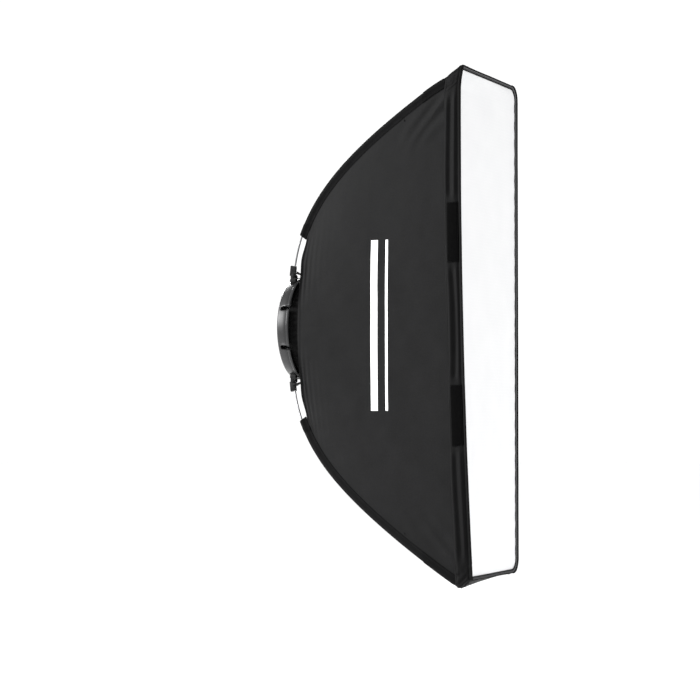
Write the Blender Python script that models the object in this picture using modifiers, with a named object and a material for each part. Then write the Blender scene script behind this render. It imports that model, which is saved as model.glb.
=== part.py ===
"""A strip softbox: a tall fabric light modifier on four spring rods and a folding speed ring.

Metres, +Z up. The origin is the centre of the insert's seat, where a flash head's front face
meets it. +X is the way the light leaves and +Z is along the strip's long side.
"""

from math import cos, hypot, pi, radians, sin, sqrt

import bmesh
import bpy
from mathutils import Matrix, Vector

# Driving dimensions of the whole
FRONT_WIDTH = 0.305
FRONT_HEIGHT = 0.914
RING_DEPTH = 0.026
BOX_DEPTH = 0.367
FRONT_X = RING_DEPTH + BOX_DEPTH
GAP = 0.0003
EDGE = 0.0008
BITE = 0.001
CUT = 0.010

# Speed ring: a short bell with a flat back, eight slots and a bore for the insert
RING_REAR_RADIUS = 0.0930
RING_FRONT_RADIUS = 0.0972
RIM_RADIUS = 0.0988
RIM_LENGTH = 0.0055
RING_WALL = 0.0030
BACK_THICKNESS = 0.0055
INSERT_RADIUS = 0.0755
LEDGE_RADIUS = 0.0733
LEDGE_DEPTH = 0.0016
SLOT_WIDTH = 0.0088
SLOT_LENGTH = 0.0200
SLOT_COUNT = 8
SLOT_INWARD = 0.020
RING_STEPS = 56

# Bayonet insert, which the flash head holds by three lugs
COLLAR_RADIUS = 0.0525
COLLAR_BORE = 0.0490
COLLAR_LENGTH = 0.0115
LUG_RADIUS = 0.0566
LUG_THICKNESS = 0.0032
LUG_ANGLE = radians(34)
LUG_COUNT = 3
LUG_STEPS = 8
FLANGE_THICKNESS = 0.0032
HUB_THICKNESS = 0.0048

# Retaining ring, which holds the insert in the speed ring
RETAINER_THICKNESS = 0.0016
RETAINER_BORE = 0.0715
RETAINER_RADIUS = 0.0830
RETAINER_STEPS = 40

# Rods: each is one bent curve in a plane that leans out from its hinge to its corner
HINGE_X = RING_DEPTH - 0.012
HINGE_Y = 0.0405
HINGE_Z = 0.0975
TIP_X = FRONT_X - 0.0195
TIP_Y = 0.1475
TIP_Z = 0.4535
ROD_RADIUS = 0.0016
ROD_POINTS = 26
ROD_BASE_LEAN = radians(11.5)
ROD_BASE_HANDLE = 0.1560
ROD_TIP_SLOPE = radians(31.4)
ROD_TIP_HANDLE = 0.2480
ROD_START = 0.0135
ROD_POINT_EASE = 1.15
CAP_RADIUS = 0.0028
CAP_LENGTH = 0.0090
CAP_NOSE = 0.0030

# Hinge: a clevis in a slot, a pin along Y, a socket for the rod and a release lever
PIN_RADIUS = 0.0015
PIN_HEAD_RADIUS = 0.0027
PIN_HEAD_THICKNESS = 0.0008
PIN_EDGE = 0.0003
PIN_STEPS = 12
BARREL_RADIUS = 0.0043
BARREL_HALF = 0.0041
CHEEK_RADIUS = 0.0046
CHEEK_INNER = BARREL_HALF + GAP
CHEEK_THICKNESS = 0.0020
CHEEK_OUTER = CHEEK_INNER + CHEEK_THICKNESS
FOOT_REAR = 0.0058
FOOT_FRONT = 0.0054
FOOT_TOP = 0.0050
FOOT_BOTTOM = 0.0140
TONGUE_ANGLE = radians(26)
TONGUE_DEPTH = 0.006
PRONG_TOP = 0.0029
PRONG_HEIGHT = 0.0015
PRONG_REACH = 0.0215
SOCKET_REAR = 0.0082
SOCKET_FRONT = 0.0028
SOCKET_HALF_WIDTH = 0.00275
SOCKET_BOTTOM = 0.0012
SOCKET_TOP = 0.0200
BORE_BOTTOM = 0.0048
SOCKET_BORE = ROD_RADIUS + GAP
LEVER_UP = 0.0085
LEVER_FORWARD = 0.0053
LEVER_BARREL = 0.0019
LEVER_HALF_WIDTH = 0.0024
LEVER_REACH = 0.0115
LEVER_DROP = 0.0022
LEVER_TAPER = 0.6
LEVER_WEDGE = LEVER_BARREL * 0.9
EAR_THICKNESS = 0.0012
EAR_RADIUS = 0.0016
EAR_REAR = 0.0020
HOLE_SIDES = 16
ROUND_SIDES = 24
SADDLE_SIDES = 96

# Fabric
CLOTH = 0.0009
SLEEVE_ABOVE = 0.0042
SLEEVE_BELOW = 0.0102
SLEEVE_HALF = 0.0026
SLEEVE_CLOTH = 0.0008
SLEEVE_START = 0.185
SLEEVE_END = 0.955
SIDE_REAR_X = RING_DEPTH + 0.020
SIDE_REAR_Y = 0.1005
SIDE_SEAM_Y = 0.1500
END_PANEL_START = 0.020
END_PANEL_INSET = 0.0040
SIDE_PANEL_START = 0.012
SIDE_PANEL_DROP = 0.0014
PANEL_END = 0.004
TOP_SAG = 0.006
LIP_DEPTH = 0.034
LIP_BOW = 0.008
LIP_HALF_WIDTH = 0.1545
LIP_HALF_HEIGHT = 0.4595
CORNER_RADIUS_REAR = 0.004
CORNER_RADIUS_FRONT = 0.018
CORNER_REACH = 0.030
CORNER_TURN_START = 0.005
LIP_ABOVE_SLEEVE = 0.0018
LIP_BESIDE_ROD = 0.0050
STRIP_LENGTH = 0.107
STRIP_WIDTH = 0.0215
STRIP_THICKNESS = 0.0016
STRIP_CENTRE_Z = 0.163
STRIP_PROUD = 0.0006
STRIP_BOW_SHARE = 0.9
DIFFUSER_DEPTH = 0.0050
DIFFUSER_INSET = CLOTH + 0.0012
DIFFUSER_ROW_EASE = 1.8
BINDING_WIDTH = 0.009
BINDING_THICKNESS = 0.0014
BAFFLE_X = FRONT_X - 0.135
BAFFLE_HALF_WIDTH = 0.104
BAFFLE_HALF_HEIGHT = 0.318
BAFFLE_NARROWING = 0.90
SKIRT_RADIUS = 0.0918
SKIRT_REACH = 0.015
SKIRT_END = 0.032
SKIRT_HALF_WIDTH = 0.0925
SKIRT_HALF_HEIGHT = 0.166
SKIRT_OVERLAP = 0.003
SKIRT_SQUARE_POWER = 1.4
SKIRT_WAIST = 0.66

SIDES = {"left": 1, "right": -1}
LEVELS = {"upper": 1, "lower": -1}

MATERIALS = {
    "insert_metal": ((0.55, 0.55, 0.56, 1), 0.35, 1.0),
    "ring_metal": ((0.055, 0.055, 0.058, 1), 0.42, 0.6),
    "bracket_metal": ((0.015, 0.015, 0.016, 1), 0.45, 0.4),
    "pin_steel": ((0.45, 0.45, 0.46, 1), 0.3, 1.0),
    "lever_plastic": ((0.012, 0.012, 0.012, 1), 0.5, 0.0),
    "rod_steel": ((0.25, 0.25, 0.26, 1), 0.35, 0.8),
    "cap_rubber": ((0.01, 0.01, 0.01, 1), 0.7, 0.0),
    "panel_fabric": ((0.032, 0.032, 0.033, 1), 0.85, 0.0),
    "webbing": ((0.012, 0.012, 0.013, 1), 0.9, 0.0),
    "hook_tape": ((0.006, 0.006, 0.006, 1), 1.0, 0.0),
    "binding_tape": ((0.08, 0.08, 0.082, 1), 0.8, 0.0),
    "diffuser_fabric": ((0.9, 0.9, 0.91, 1), 0.8, 0.0),
}


def clear_scene():
    for thing in list(bpy.data.objects):
        bpy.data.objects.remove(thing, do_unlink=True)


def new_collection(name):
    made = bpy.data.collections.new(name)
    bpy.context.scene.collection.children.link(made)
    return made


def make_materials():
    made = {}
    for name, (colour, roughness, metallic) in MATERIALS.items():
        material = bpy.data.materials.new(name)
        material.use_nodes = True
        shader = material.node_tree.nodes["Principled BSDF"]
        shader.inputs["Base Color"].default_value = colour
        shader.inputs["Roughness"].default_value = roughness
        shader.inputs["Metallic"].default_value = metallic
        made[name] = material
    return made


clear_scene()
PARTS = new_collection("strip_softbox")
CUTTERS = new_collection("cutters")
PAINT = make_materials()


def object_from(name, mesh, collection):
    thing = bpy.data.objects.new(name, mesh)
    collection.objects.link(thing)
    return thing


def finish(thing, material, parent=None, smooth=35):
    """Give a part its material and shading, and hang it on its joint's empty."""
    thing.data.materials.clear()
    thing.data.materials.append(PAINT[material])
    thing.data.shade_smooth()
    thing.data.set_sharp_from_angle(angle=radians(smooth))
    if parent is not None:
        thing.parent = parent
        thing.matrix_parent_inverse = parent.matrix_world.inverted()
    return thing


def as_tool(thing):
    """Make an object a hidden shape that only cuts or joins another."""
    for collection in list(thing.users_collection):
        collection.objects.unlink(thing)
    CUTTERS.objects.link(thing)
    thing.hide_render = True
    thing.display_type = "WIRE"
    return thing


def combine(thing, tool, operation):
    modifier = thing.modifiers.new(operation.lower(), "BOOLEAN")
    modifier.operation = operation
    modifier.solver = "EXACT"
    modifier.object = as_tool(tool)


def box(name, low, high, frame=None):
    """A box between two corners, in the axes of frame."""
    mesh = bpy.data.meshes.new(name)
    bm = bmesh.new()
    size = [b - a for a, b in zip(low, high)]
    middle = [(a + b) / 2 for a, b in zip(low, high)]
    placed = Matrix.Translation(middle) @ Matrix.Diagonal((*size, 1))
    bmesh.ops.create_cube(bm, size=1, matrix=(frame or Matrix()) @ placed)
    bm.to_mesh(mesh)
    bm.free()
    return object_from(name, mesh, PARTS)


def cylinder(name, start, end, radius, sides=20):
    mesh = bpy.data.meshes.new(name)
    bm = bmesh.new()
    way = end - start
    placed = Matrix.Translation((start + end) / 2) @ way.to_track_quat("Z", "Y").to_matrix().to_4x4()
    bmesh.ops.create_cone(
        bm, cap_ends=True, segments=sides, radius1=radius, radius2=radius, depth=way.length, matrix=placed
    )
    bm.to_mesh(mesh)
    bm.free()
    return object_from(name, mesh, PARTS)


def turned(name, outline, steps, closed, frame):
    """Turn an outline of (along, radius) points, front to rear on its outer side, about an axis."""
    mesh = bpy.data.meshes.new(name)
    bm = bmesh.new()
    corners = [bm.verts.new((radius, 0, along)) for along, radius in outline]
    for a, b in zip(corners, corners[1:] + (corners[:1] if closed else [])):
        bm.edges.new((a, b))
    bm.to_mesh(mesh)
    bm.free()
    thing = object_from(name, mesh, PARTS)
    screw = thing.modifiers.new("turn", "SCREW")
    screw.axis = "Z"
    screw.angle = 2 * pi
    screw.steps = steps
    screw.render_steps = steps
    screw.use_merge_vertices = True
    screw.merge_threshold = 0.00001
    thing.matrix_world = frame
    return thing


ALONG_X = Matrix.Rotation(pi / 2, 4, "Y")


def sheet(name, columns, rows, surface, flipped=False, closed=False, thickness=CLOTH):
    """Cloth: a grid laid on surface(u, v), with u and v from 0 to 1, thickened inwards."""
    mesh = bpy.data.meshes.new(name)
    bm = bmesh.new()
    bmesh.ops.create_grid(bm, x_segments=columns, y_segments=rows, size=0.5)
    for corner in bm.verts:
        corner.co = surface(corner.co.x + 0.5, corner.co.y + 0.5)
    if closed:
        bmesh.ops.remove_doubles(bm, verts=bm.verts, dist=0.00001)
    if flipped:
        bmesh.ops.reverse_faces(bm, faces=bm.faces)
    bm.to_mesh(mesh)
    bm.free()
    thing = object_from(name, mesh, PARTS)
    shell = thing.modifiers.new("cloth", "SOLIDIFY")
    shell.thickness = thickness
    shell.offset = -1
    shell.use_rim = True
    return thing


def empty(name, place):
    marker = bpy.data.objects.new(name, None)
    PARTS.objects.link(marker)
    marker.location = place
    bpy.context.view_layer.update()
    return marker


def mix(a, b, share):
    return a + (b - a) * share


# Each rod lies in a plane through its hinge and its tip: along X, and out along this slope
ROD_RUN = hypot(TIP_Y - HINGE_Y, TIP_Z - HINGE_Z)
OUT_Y = (TIP_Y - HINGE_Y) / ROD_RUN
OUT_Z = (TIP_Z - HINGE_Z) / ROD_RUN
ROD_CONTROLS = (
    Vector((HINGE_X, 0)),
    Vector((HINGE_X + ROD_BASE_HANDLE * sin(ROD_BASE_LEAN), ROD_BASE_HANDLE * cos(ROD_BASE_LEAN))),
    Vector((TIP_X - ROD_TIP_HANDLE * cos(ROD_TIP_SLOPE), ROD_RUN - ROD_TIP_HANDLE * sin(ROD_TIP_SLOPE))),
    Vector((TIP_X, ROD_RUN)),
)


def rod_in_plane(share):
    """The rod's centre as (along X, out from the hinge), share from 0 at the hinge to 1 at the tip."""
    rest = 1 - share
    weights = (rest**3, 3 * rest * rest * share, 3 * rest * share * share, share**3)
    return sum((w * p for w, p in zip(weights, ROD_CONTROLS)), Vector((0, 0)))


def rod_slope(share):
    step = 0.001
    return (rod_in_plane(share + step) - rod_in_plane(share - step)).normalized()


def from_plane(side, level, along, out, across=0.0):
    """A point of a rod's plane in space, moved across it towards the outside of the box."""
    y = HINGE_Y + out * OUT_Y + across * OUT_Z
    z = HINGE_Z + out * OUT_Z - across * OUT_Y
    return Vector((along, side * y, level * z))


def beside_rod(side, level, share, above, across):
    """A point beside the rod's centre: above it, on its outer side, and across the rod's plane."""
    centre = rod_in_plane(share)
    slope = rod_slope(share)
    place = centre + above * Vector((-slope.y, slope.x))
    return from_plane(side, level, place.x, place.y, across)


def share_at_x(along):
    low, high = 0.0, 1.0
    for _ in range(40):
        middle = (low + high) / 2
        if rod_in_plane(middle).x < along:
            low = middle
        else:
            high = middle
    return low


SEAM_X = FRONT_X - LIP_DEPTH
SEAM_SHARE = share_at_x(SEAM_X)


def make_insert():
    """The flange sits in the ring; the collar and its three lugs go into the flash head."""
    outline = [
        (HUB_THICKNESS, COLLAR_BORE),
        (HUB_THICKNESS, INSERT_RADIUS),
        (HUB_THICKNESS - FLANGE_THICKNESS + GAP, INSERT_RADIUS),
        (HUB_THICKNESS - FLANGE_THICKNESS + GAP, LEDGE_RADIUS - GAP),
        (0.0, LEDGE_RADIUS - GAP),
        (0.0, COLLAR_RADIUS),
        (-COLLAR_LENGTH, COLLAR_RADIUS),
        (-COLLAR_LENGTH, COLLAR_BORE),
    ]
    insert = turned("bayonet_insert", outline, RING_STEPS, True, ALONG_X)
    for index in range(LUG_COUNT):
        turn = 2 * pi * index / LUG_COUNT
        lug = turned(
            "lug",
            [
                (-COLLAR_LENGTH + LUG_THICKNESS, COLLAR_RADIUS - BITE),
                (-COLLAR_LENGTH + LUG_THICKNESS, LUG_RADIUS),
                (-COLLAR_LENGTH + GAP, LUG_RADIUS),
                (-COLLAR_LENGTH + GAP, COLLAR_RADIUS - BITE),
            ],
            LUG_STEPS,
            True,
            Matrix.Rotation(turn - LUG_ANGLE / 2, 4, "X") @ ALONG_X,
        )
        lug.modifiers["turn"].angle = LUG_ANGLE
        lug.modifiers["turn"].use_merge_vertices = False
        close_ends(lug)
        combine(insert, lug, "UNION")
    return finish(insert, "insert_metal")


def close_ends(thing):
    """Freeze a part-turned outline as a mesh and close its two ends."""
    bpy.context.view_layer.update()
    frozen = bpy.data.meshes.new_from_object(thing.evaluated_get(bpy.context.evaluated_depsgraph_get()))
    thing.modifiers.clear()
    thing.data = frozen
    bm = bmesh.new()
    bm.from_mesh(frozen)
    bmesh.ops.holes_fill(bm, edges=[e for e in bm.edges if e.is_boundary], sides=0)
    bmesh.ops.recalc_face_normals(bm, faces=bm.faces)
    bm.to_mesh(frozen)
    bm.free()


def make_speed_ring():
    """The bell, with its ledge for the insert and a slot at each place for a rod."""
    inner = RING_REAR_RADIUS - RING_WALL
    outline = [
        (RING_DEPTH, RIM_RADIUS - EDGE),
        (RING_DEPTH - EDGE, RIM_RADIUS),
        (RING_DEPTH - RIM_LENGTH, RIM_RADIUS),
        (RING_DEPTH - RIM_LENGTH - EDGE, RING_FRONT_RADIUS),
        (4 * EDGE, RING_REAR_RADIUS + EDGE / 2),
        (EDGE, RING_REAR_RADIUS - 1.5 * EDGE),
        (0.0, RING_REAR_RADIUS - 4 * EDGE),
        (0.0, LEDGE_RADIUS),
        (LEDGE_DEPTH - GAP, LEDGE_RADIUS),
        (LEDGE_DEPTH - GAP, INSERT_RADIUS + GAP),
        (BACK_THICKNESS, INSERT_RADIUS + GAP),
        (BACK_THICKNESS, inner - EDGE),
        (BACK_THICKNESS + EDGE, inner),
        (RING_DEPTH, RING_FRONT_RADIUS - RING_WALL),
    ]
    ring = turned("speed_ring", outline, RING_STEPS, True, ALONG_X)
    for index in range(SLOT_COUNT):
        angle = 2 * pi * (index + 0.5) / SLOT_COUNT
        for_rod = abs(cos(angle)) > abs(sin(angle))
        side = 1 if sin(angle) > 0 else -1
        level = 1 if cos(angle) > 0 else -1
        middle = RING_FRONT_RADIUS if not for_rod else HINGE_Z
        frame = Matrix.Rotation(-angle, 4, "X")
        if for_rod:
            turn = Matrix.Rotation(0 if level > 0 else pi, 4, "X")
            frame = Matrix.Translation((0, side * HINGE_Y, 0)) @ turn
        half = SLOT_WIDTH / 2
        slot = box(
            f"slot_{index}",
            (RING_DEPTH - SLOT_LENGTH, -half, middle - SLOT_INWARD),
            (RING_DEPTH + CUT, half, middle + CUT),
            frame,
        )
        combine(ring, slot, "DIFFERENCE")
    return finish(ring, "ring_metal")


def make_retaining_ring():
    rear = BACK_THICKNESS + GAP
    outline = [
        (rear + RETAINER_THICKNESS, RETAINER_BORE),
        (rear + RETAINER_THICKNESS, RETAINER_RADIUS),
        (rear, RETAINER_RADIUS),
        (rear, RETAINER_BORE),
    ]
    ring = turned("retaining_ring", outline, RETAINER_STEPS, True, ALONG_X)
    return finish(ring, "bracket_metal")


def hinge_frame(side, level):
    """Axes at a hinge: X forward, Y towards the box's outside, Z away from the ring."""
    mirror = Matrix.Diagonal((1, side, level, 1))
    return Matrix.Translation((HINGE_X, side * HINGE_Y, level * HINGE_Z)) @ mirror


def leaning_frame(side, level):
    """The hinge's axes leaned to the rod's base: Z along the rod, Y across its plane."""
    slope = rod_slope(ROD_START)
    along_rod = Vector((slope.x, slope.y * OUT_Y, slope.y * OUT_Z))
    across = Vector((0, OUT_Z, -OUT_Y))
    forward = across.cross(along_rod)
    turn = Matrix((forward, across, along_rod)).transposed().to_4x4()
    return hinge_frame(side, level) @ turn


def upright(thing):
    """Point the faces outwards again on a piece that a mirrored frame turned inside out."""
    bm = bmesh.new()
    bm.from_mesh(thing.data)
    bmesh.ops.recalc_face_normals(bm, faces=bm.faces)
    bm.to_mesh(thing.data)
    bm.free()
    return thing


def make_hinge_bracket(name, side, level):
    """A foot that fills the slot, two round cheeks for the pin, and two prongs over the rim."""
    frame = hinge_frame(side, level)
    half = SLOT_WIDTH / 2 - GAP
    foot = upright(
        box(name, (-FOOT_REAR, -CHEEK_OUTER, -FOOT_BOTTOM), (FOOT_FRONT, CHEEK_OUTER, -FOOT_TOP), frame)
    )
    behind, ahead = Vector((-CUT, 0, 0)), Vector((RING_DEPTH + CUT, 0, 0))
    saddle = cylinder("saddle", behind, ahead, RIM_RADIUS + GAP, SADDLE_SIDES)
    combine(foot, saddle, "DIFFERENCE")
    tongue_low = -(HINGE_Z - RING_REAR_RADIUS * cos(TONGUE_ANGLE) + TONGUE_DEPTH)
    tongue = upright(
        box("tongue", (-FOOT_REAR, -half, tongue_low), (FOOT_FRONT, half, -FOOT_TOP - BITE), frame)
    )
    combine(foot, tongue, "UNION")
    for edge in (-1, 1):
        low, high = sorted((edge * CHEEK_INNER, edge * CHEEK_OUTER))
        leg = box("leg", (-CHEEK_RADIUS, low, -FOOT_TOP - BITE), (CHEEK_RADIUS, high, 0), frame)
        combine(foot, upright(leg), "UNION")
        near, far = frame @ Vector((0, low, 0)), frame @ Vector((0, high, 0))
        cheek = cylinder("cheek", near, far, CHEEK_RADIUS, ROUND_SIDES)
        combine(foot, cheek, "UNION")
        prong = box(
            "prong", (BITE, low, -PRONG_TOP - PRONG_HEIGHT), (PRONG_REACH, high, -PRONG_TOP), frame
        )
        combine(foot, upright(prong), "UNION")
    near, far = frame @ Vector((0, -CUT, 0)), frame @ Vector((0, CUT, 0))
    hole = cylinder("hole", near, far, PIN_RADIUS + GAP, HOLE_SIDES)
    combine(foot, hole, "DIFFERENCE")
    return finish(foot, "bracket_metal")


def make_hinge_pin(name, side, level):
    head = CHEEK_OUTER + GAP
    end = head + PIN_HEAD_THICKNESS
    outline = [
        (end, 0),
        (end, PIN_HEAD_RADIUS - PIN_EDGE),
        (end - PIN_EDGE, PIN_HEAD_RADIUS),
        (head, PIN_HEAD_RADIUS),
        (head, PIN_RADIUS),
        (-head, PIN_RADIUS),
        (-head, PIN_HEAD_RADIUS),
        (-end + PIN_EDGE, PIN_HEAD_RADIUS),
        (-end, PIN_HEAD_RADIUS - PIN_EDGE),
        (-end, 0),
    ]
    place = Matrix.Translation((HINGE_X, side * HINGE_Y, level * HINGE_Z))
    pin = turned(name, outline, PIN_STEPS, False, place @ Matrix.Rotation(-pi / 2, 4, "X"))
    return finish(pin, "pin_steel")


def make_rod_holder(name, side, level, parent):
    """A barrel on the pin, a leaning socket for the rod, and two ears for the release lever."""
    upright_frame = hinge_frame(side, level)
    frame = leaning_frame(side, level)
    holder = cylinder(
        name,
        upright_frame @ Vector((0, -BARREL_HALF, 0)),
        upright_frame @ Vector((0, BARREL_HALF, 0)),
        BARREL_RADIUS,
        ROUND_SIDES,
    )
    socket = box(
        "socket",
        (-SOCKET_REAR, -SOCKET_HALF_WIDTH, SOCKET_BOTTOM),
        (SOCKET_FRONT, SOCKET_HALF_WIDTH, SOCKET_TOP),
        frame,
    )
    combine(holder, upright(socket), "UNION")
    for edge in (-1, 1):
        low, high = sorted((edge * (SOCKET_HALF_WIDTH - GAP), edge * (SOCKET_HALF_WIDTH + EAR_THICKNESS)))
        ear = box(
            "ear",
            (-EAR_REAR, low, LEVER_UP - EAR_RADIUS),
            (LEVER_FORWARD, high, LEVER_UP + EAR_RADIUS),
            frame,
        )
        combine(holder, upright(ear), "UNION")
        nose = cylinder(
            "nose",
            frame @ Vector((LEVER_FORWARD, low, LEVER_UP)),
            frame @ Vector((LEVER_FORWARD, high, LEVER_UP)),
            EAR_RADIUS,
            HOLE_SIDES,
        )
        combine(holder, nose, "UNION")
    bore = cylinder(
        "bore",
        frame @ Vector((0, 0, BORE_BOTTOM)),
        frame @ Vector((0, 0, SOCKET_TOP + CUT)),
        SOCKET_BORE,
        HOLE_SIDES,
    )
    combine(holder, bore, "DIFFERENCE")
    hole = cylinder(
        "hole",
        upright_frame @ Vector((0, -CUT, 0)),
        upright_frame @ Vector((0, CUT, 0)),
        PIN_RADIUS + GAP,
        HOLE_SIDES,
    )
    combine(holder, hole, "DIFFERENCE")
    return finish(holder, "bracket_metal", parent)


def lever_axis(side, level):
    return leaning_frame(side, level) @ Vector((LEVER_FORWARD, 0, LEVER_UP))


def make_release_lever(name, side, level):
    """A thumb lever between the ears, with a wedge that points forward and down to the prongs."""
    frame = leaning_frame(side, level)
    pivot = empty(f"{name}_axis", lever_axis(side, level))
    lever = cylinder(
        name,
        frame @ Vector((LEVER_FORWARD, -LEVER_HALF_WIDTH, LEVER_UP)),
        frame @ Vector((LEVER_FORWARD, LEVER_HALF_WIDTH, LEVER_UP)),
        LEVER_BARREL,
        HOLE_SIDES,
    )
    wedge = box(
        "wedge",
        (LEVER_FORWARD, -LEVER_HALF_WIDTH, LEVER_UP - LEVER_WEDGE),
        (LEVER_FORWARD + LEVER_REACH, LEVER_HALF_WIDTH, LEVER_UP + LEVER_WEDGE),
    )
    bend_wedge(wedge, frame)
    combine(lever, wedge, "UNION")
    return finish(lever, "lever_plastic", pivot)


def bend_wedge(wedge, frame):
    """Drop a box's far end and thin it, then place it in its frame."""
    for corner in wedge.data.vertices:
        if corner.co.x > LEVER_FORWARD + BITE:
            corner.co.z = LEVER_UP - LEVER_DROP + (corner.co.z - LEVER_UP) * LEVER_TAPER
        corner.co = frame @ corner.co
    upright(wedge)


def make_rod(name, side, level, parent):
    """A bent spring-steel rod, from inside its socket to its corner."""
    curve = bpy.data.curves.new(name, "CURVE")
    curve.dimensions = "3D"
    line = curve.splines.new("POLY")
    line.points.add(ROD_POINTS - 1)
    for index, point in enumerate(line.points):
        share = mix(ROD_START, 1.0, (index / (ROD_POINTS - 1)) ** ROD_POINT_EASE)
        point.co = (*beside_rod(side, level, share, 0, 0), 1)
    curve.bevel_depth = ROD_RADIUS
    curve.bevel_resolution = 1
    curve.use_fill_caps = True
    curve.materials.append(PAINT["rod_steel"])
    rod = object_from(name, curve, PARTS)
    rod.parent = parent
    rod.matrix_parent_inverse = parent.matrix_world.inverted()
    return rod


def make_rod_cap(name, side, level, parent):
    """A round-nosed plastic cap over the last of the rod, bored for it."""
    tip = beside_rod(side, level, 1.0, 0, 0)
    slope = rod_slope(1.0)
    way = (from_plane(side, level, slope.x, slope.y) - from_plane(side, level, 0, 0)).normalized()
    outline = [
        (CAP_NOSE, 0),
        (CAP_NOSE * 0.93, CAP_RADIUS * 0.55),
        (CAP_NOSE * 0.6, CAP_RADIUS),
        (-CAP_LENGTH, CAP_RADIUS),
        (-CAP_LENGTH, ROD_RADIUS + GAP),
        (GAP, ROD_RADIUS + GAP),
        (GAP, 0),
    ]
    place = Matrix.Translation(tip) @ way.to_track_quat("Z", "Y").to_matrix().to_4x4()
    cap = turned(name, outline, PIN_STEPS, False, place)
    return finish(cap, "cap_rubber", parent)


def make_rod_sleeve(name, side, level, parent):
    """A flat fabric channel that the rod runs in, sewn between two panels."""
    middle = (SLEEVE_ABOVE - SLEEVE_BELOW) / 2
    half = (SLEEVE_ABOVE + SLEEVE_BELOW) / 2

    def surface(u, v):
        turn = 2 * pi * u
        share = mix(SLEEVE_START, SLEEVE_END, v)
        return beside_rod(side, level, share, middle + half * cos(turn), SLEEVE_HALF * sin(turn))

    outward = side * level < 0
    sleeve = sheet(name, 10, 13, surface, flipped=not outward, closed=True, thickness=-SLEEVE_CLOTH)
    return finish(sleeve, "webbing", parent)


def make_end_panel(name, level, parent):
    """The narrow panel between the two rods of one end, sagging a little between them."""
    start, end = SLEEVE_START + END_PANEL_START, SEAM_SHARE - PANEL_END

    def surface(u, v):
        share = mix(start, end, v)
        edge = beside_rod(1, level, share, SLEEVE_ABOVE, -END_PANEL_INSET)
        across = 2 * u - 1
        sag = TOP_SAG * (1 - across * across) * sin(pi * v)
        return Vector((edge.x + 0.5 * sag, edge.y * across, edge.z - level * sag))

    return finish(sheet(name, 6, 12, surface, flipped=level > 0), "panel_fabric", parent)


def side_mid_y(along):
    return mix(SIDE_REAR_Y, SIDE_SEAM_Y, (along - SIDE_REAR_X) / (SEAM_X - SIDE_REAR_X))


def make_side_panel(name, side, level):
    """Half of a long side, from the middle line to the rods' sleeve, bulged round the ring."""
    start, end = SLEEVE_START + SIDE_PANEL_START, SEAM_SHARE - PANEL_END
    low = SLEEVE_BELOW + SIDE_PANEL_DROP
    first = beside_rod(1, 1, start, -low, 0).x
    last = beside_rod(1, 1, end, -low, 0).x

    def surface(u, v):
        edge = beside_rod(1, 1, mix(start, end, u), -low, GAP)
        run = (edge.x - first) / (last - first)
        middle_x = mix(SIDE_REAR_X, SEAM_X - LIP_BOW - GAP, run)
        rise = 1 - v * v
        x = mix(edge.x, middle_x, rise)
        y = edge.y + (side_mid_y(middle_x) - edge.y) * rise
        z = mix(GAP, edge.z, v)
        return Vector((x, side * y, level * z))

    return finish(sheet(name, 10, 6, surface, flipped=side * level > 0), "panel_fabric")


def lip_shape(along):
    """The lip's half width, half height and corner radius at a place along X."""
    rise = min(max((along - SEAM_X) / (TIP_X - SEAM_X), 0), 1)
    fall = max((along - TIP_X) / (FRONT_X - TIP_X), 0)
    start = beside_rod(1, 1, SEAM_SHARE, SLEEVE_ABOVE + LIP_ABOVE_SLEEVE, 0)
    width = mix(mix(start.y + LIP_BESIDE_ROD, LIP_HALF_WIDTH, rise), FRONT_WIDTH / 2, fall)
    height = mix(mix(start.z, LIP_HALF_HEIGHT, rise), FRONT_HEIGHT / 2, fall)
    turn_start = TIP_X + CORNER_TURN_START
    turned_by = max((along - turn_start) / (FRONT_X - turn_start), 0)
    radius = mix(CORNER_RADIUS_REAR, CORNER_RADIUS_FRONT, turned_by)
    return width, height, radius


def bow(height):
    return LIP_BOW * max(1 - (height / (FRONT_HEIGHT / 2)) ** 2, 0)


def make_end_lip(name, level, parent):
    def surface(u, v):
        along = mix(SEAM_X, FRONT_X, v)
        width, height, _ = lip_shape(along)
        return Vector((along, mix(-1, 1, u) * (width - CORNER_REACH - GAP), level * height))

    return finish(sheet(name, 4, 4, surface, flipped=level > 0), "panel_fabric", parent)


def make_side_lip(name, side, level):
    def surface(u, v):
        along = mix(SEAM_X, FRONT_X, v)
        width, height, _ = lip_shape(along)
        z = mix(GAP, height - CORNER_REACH - GAP, u)
        return Vector((along - bow(z), side * width, level * z))

    return finish(sheet(name, 8, 3, surface, flipped=side * level < 0), "panel_fabric")


def make_corner_pocket(name, side, level, parent):
    """A stiff corner that takes the rod's tip, sharp at the tip and round at the front edge."""

    def surface(u, v):
        along = mix(SEAM_X, FRONT_X, v)
        width, height, radius = lip_shape(along)
        part = u * 3
        if part <= 1:
            y, z = width, mix(height - CORNER_REACH, height - radius, part)
        elif part <= 2:
            turn = (part - 1) * pi / 2
            y, z = width - radius + radius * cos(turn), height - radius + radius * sin(turn)
        else:
            y, z = mix(width - radius, width - CORNER_REACH, part - 2), height
        return Vector((along - bow(z), side * y, level * z))

    return finish(sheet(name, 12, 6, surface, flipped=side * level < 0), "webbing", parent)


def make_hook_strip(name, side, level):
    """Hook tape on the lip's outer face, where a grid fastens."""
    middle_x = FRONT_X - LIP_DEPTH / 2 - LIP_BOW * STRIP_BOW_SHARE
    half = STRIP_WIDTH / 2
    width = LIP_HALF_WIDTH + STRIP_PROUD
    low_z = STRIP_CENTRE_Z - STRIP_LENGTH / 2
    strip = box(
        name,
        (middle_x - half, width, low_z),
        (middle_x + half, width + STRIP_THICKNESS, low_z + STRIP_LENGTH),
        Matrix.Diagonal((1, side, level, 1)),
    )
    return finish(upright(strip), "hook_tape")


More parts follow.
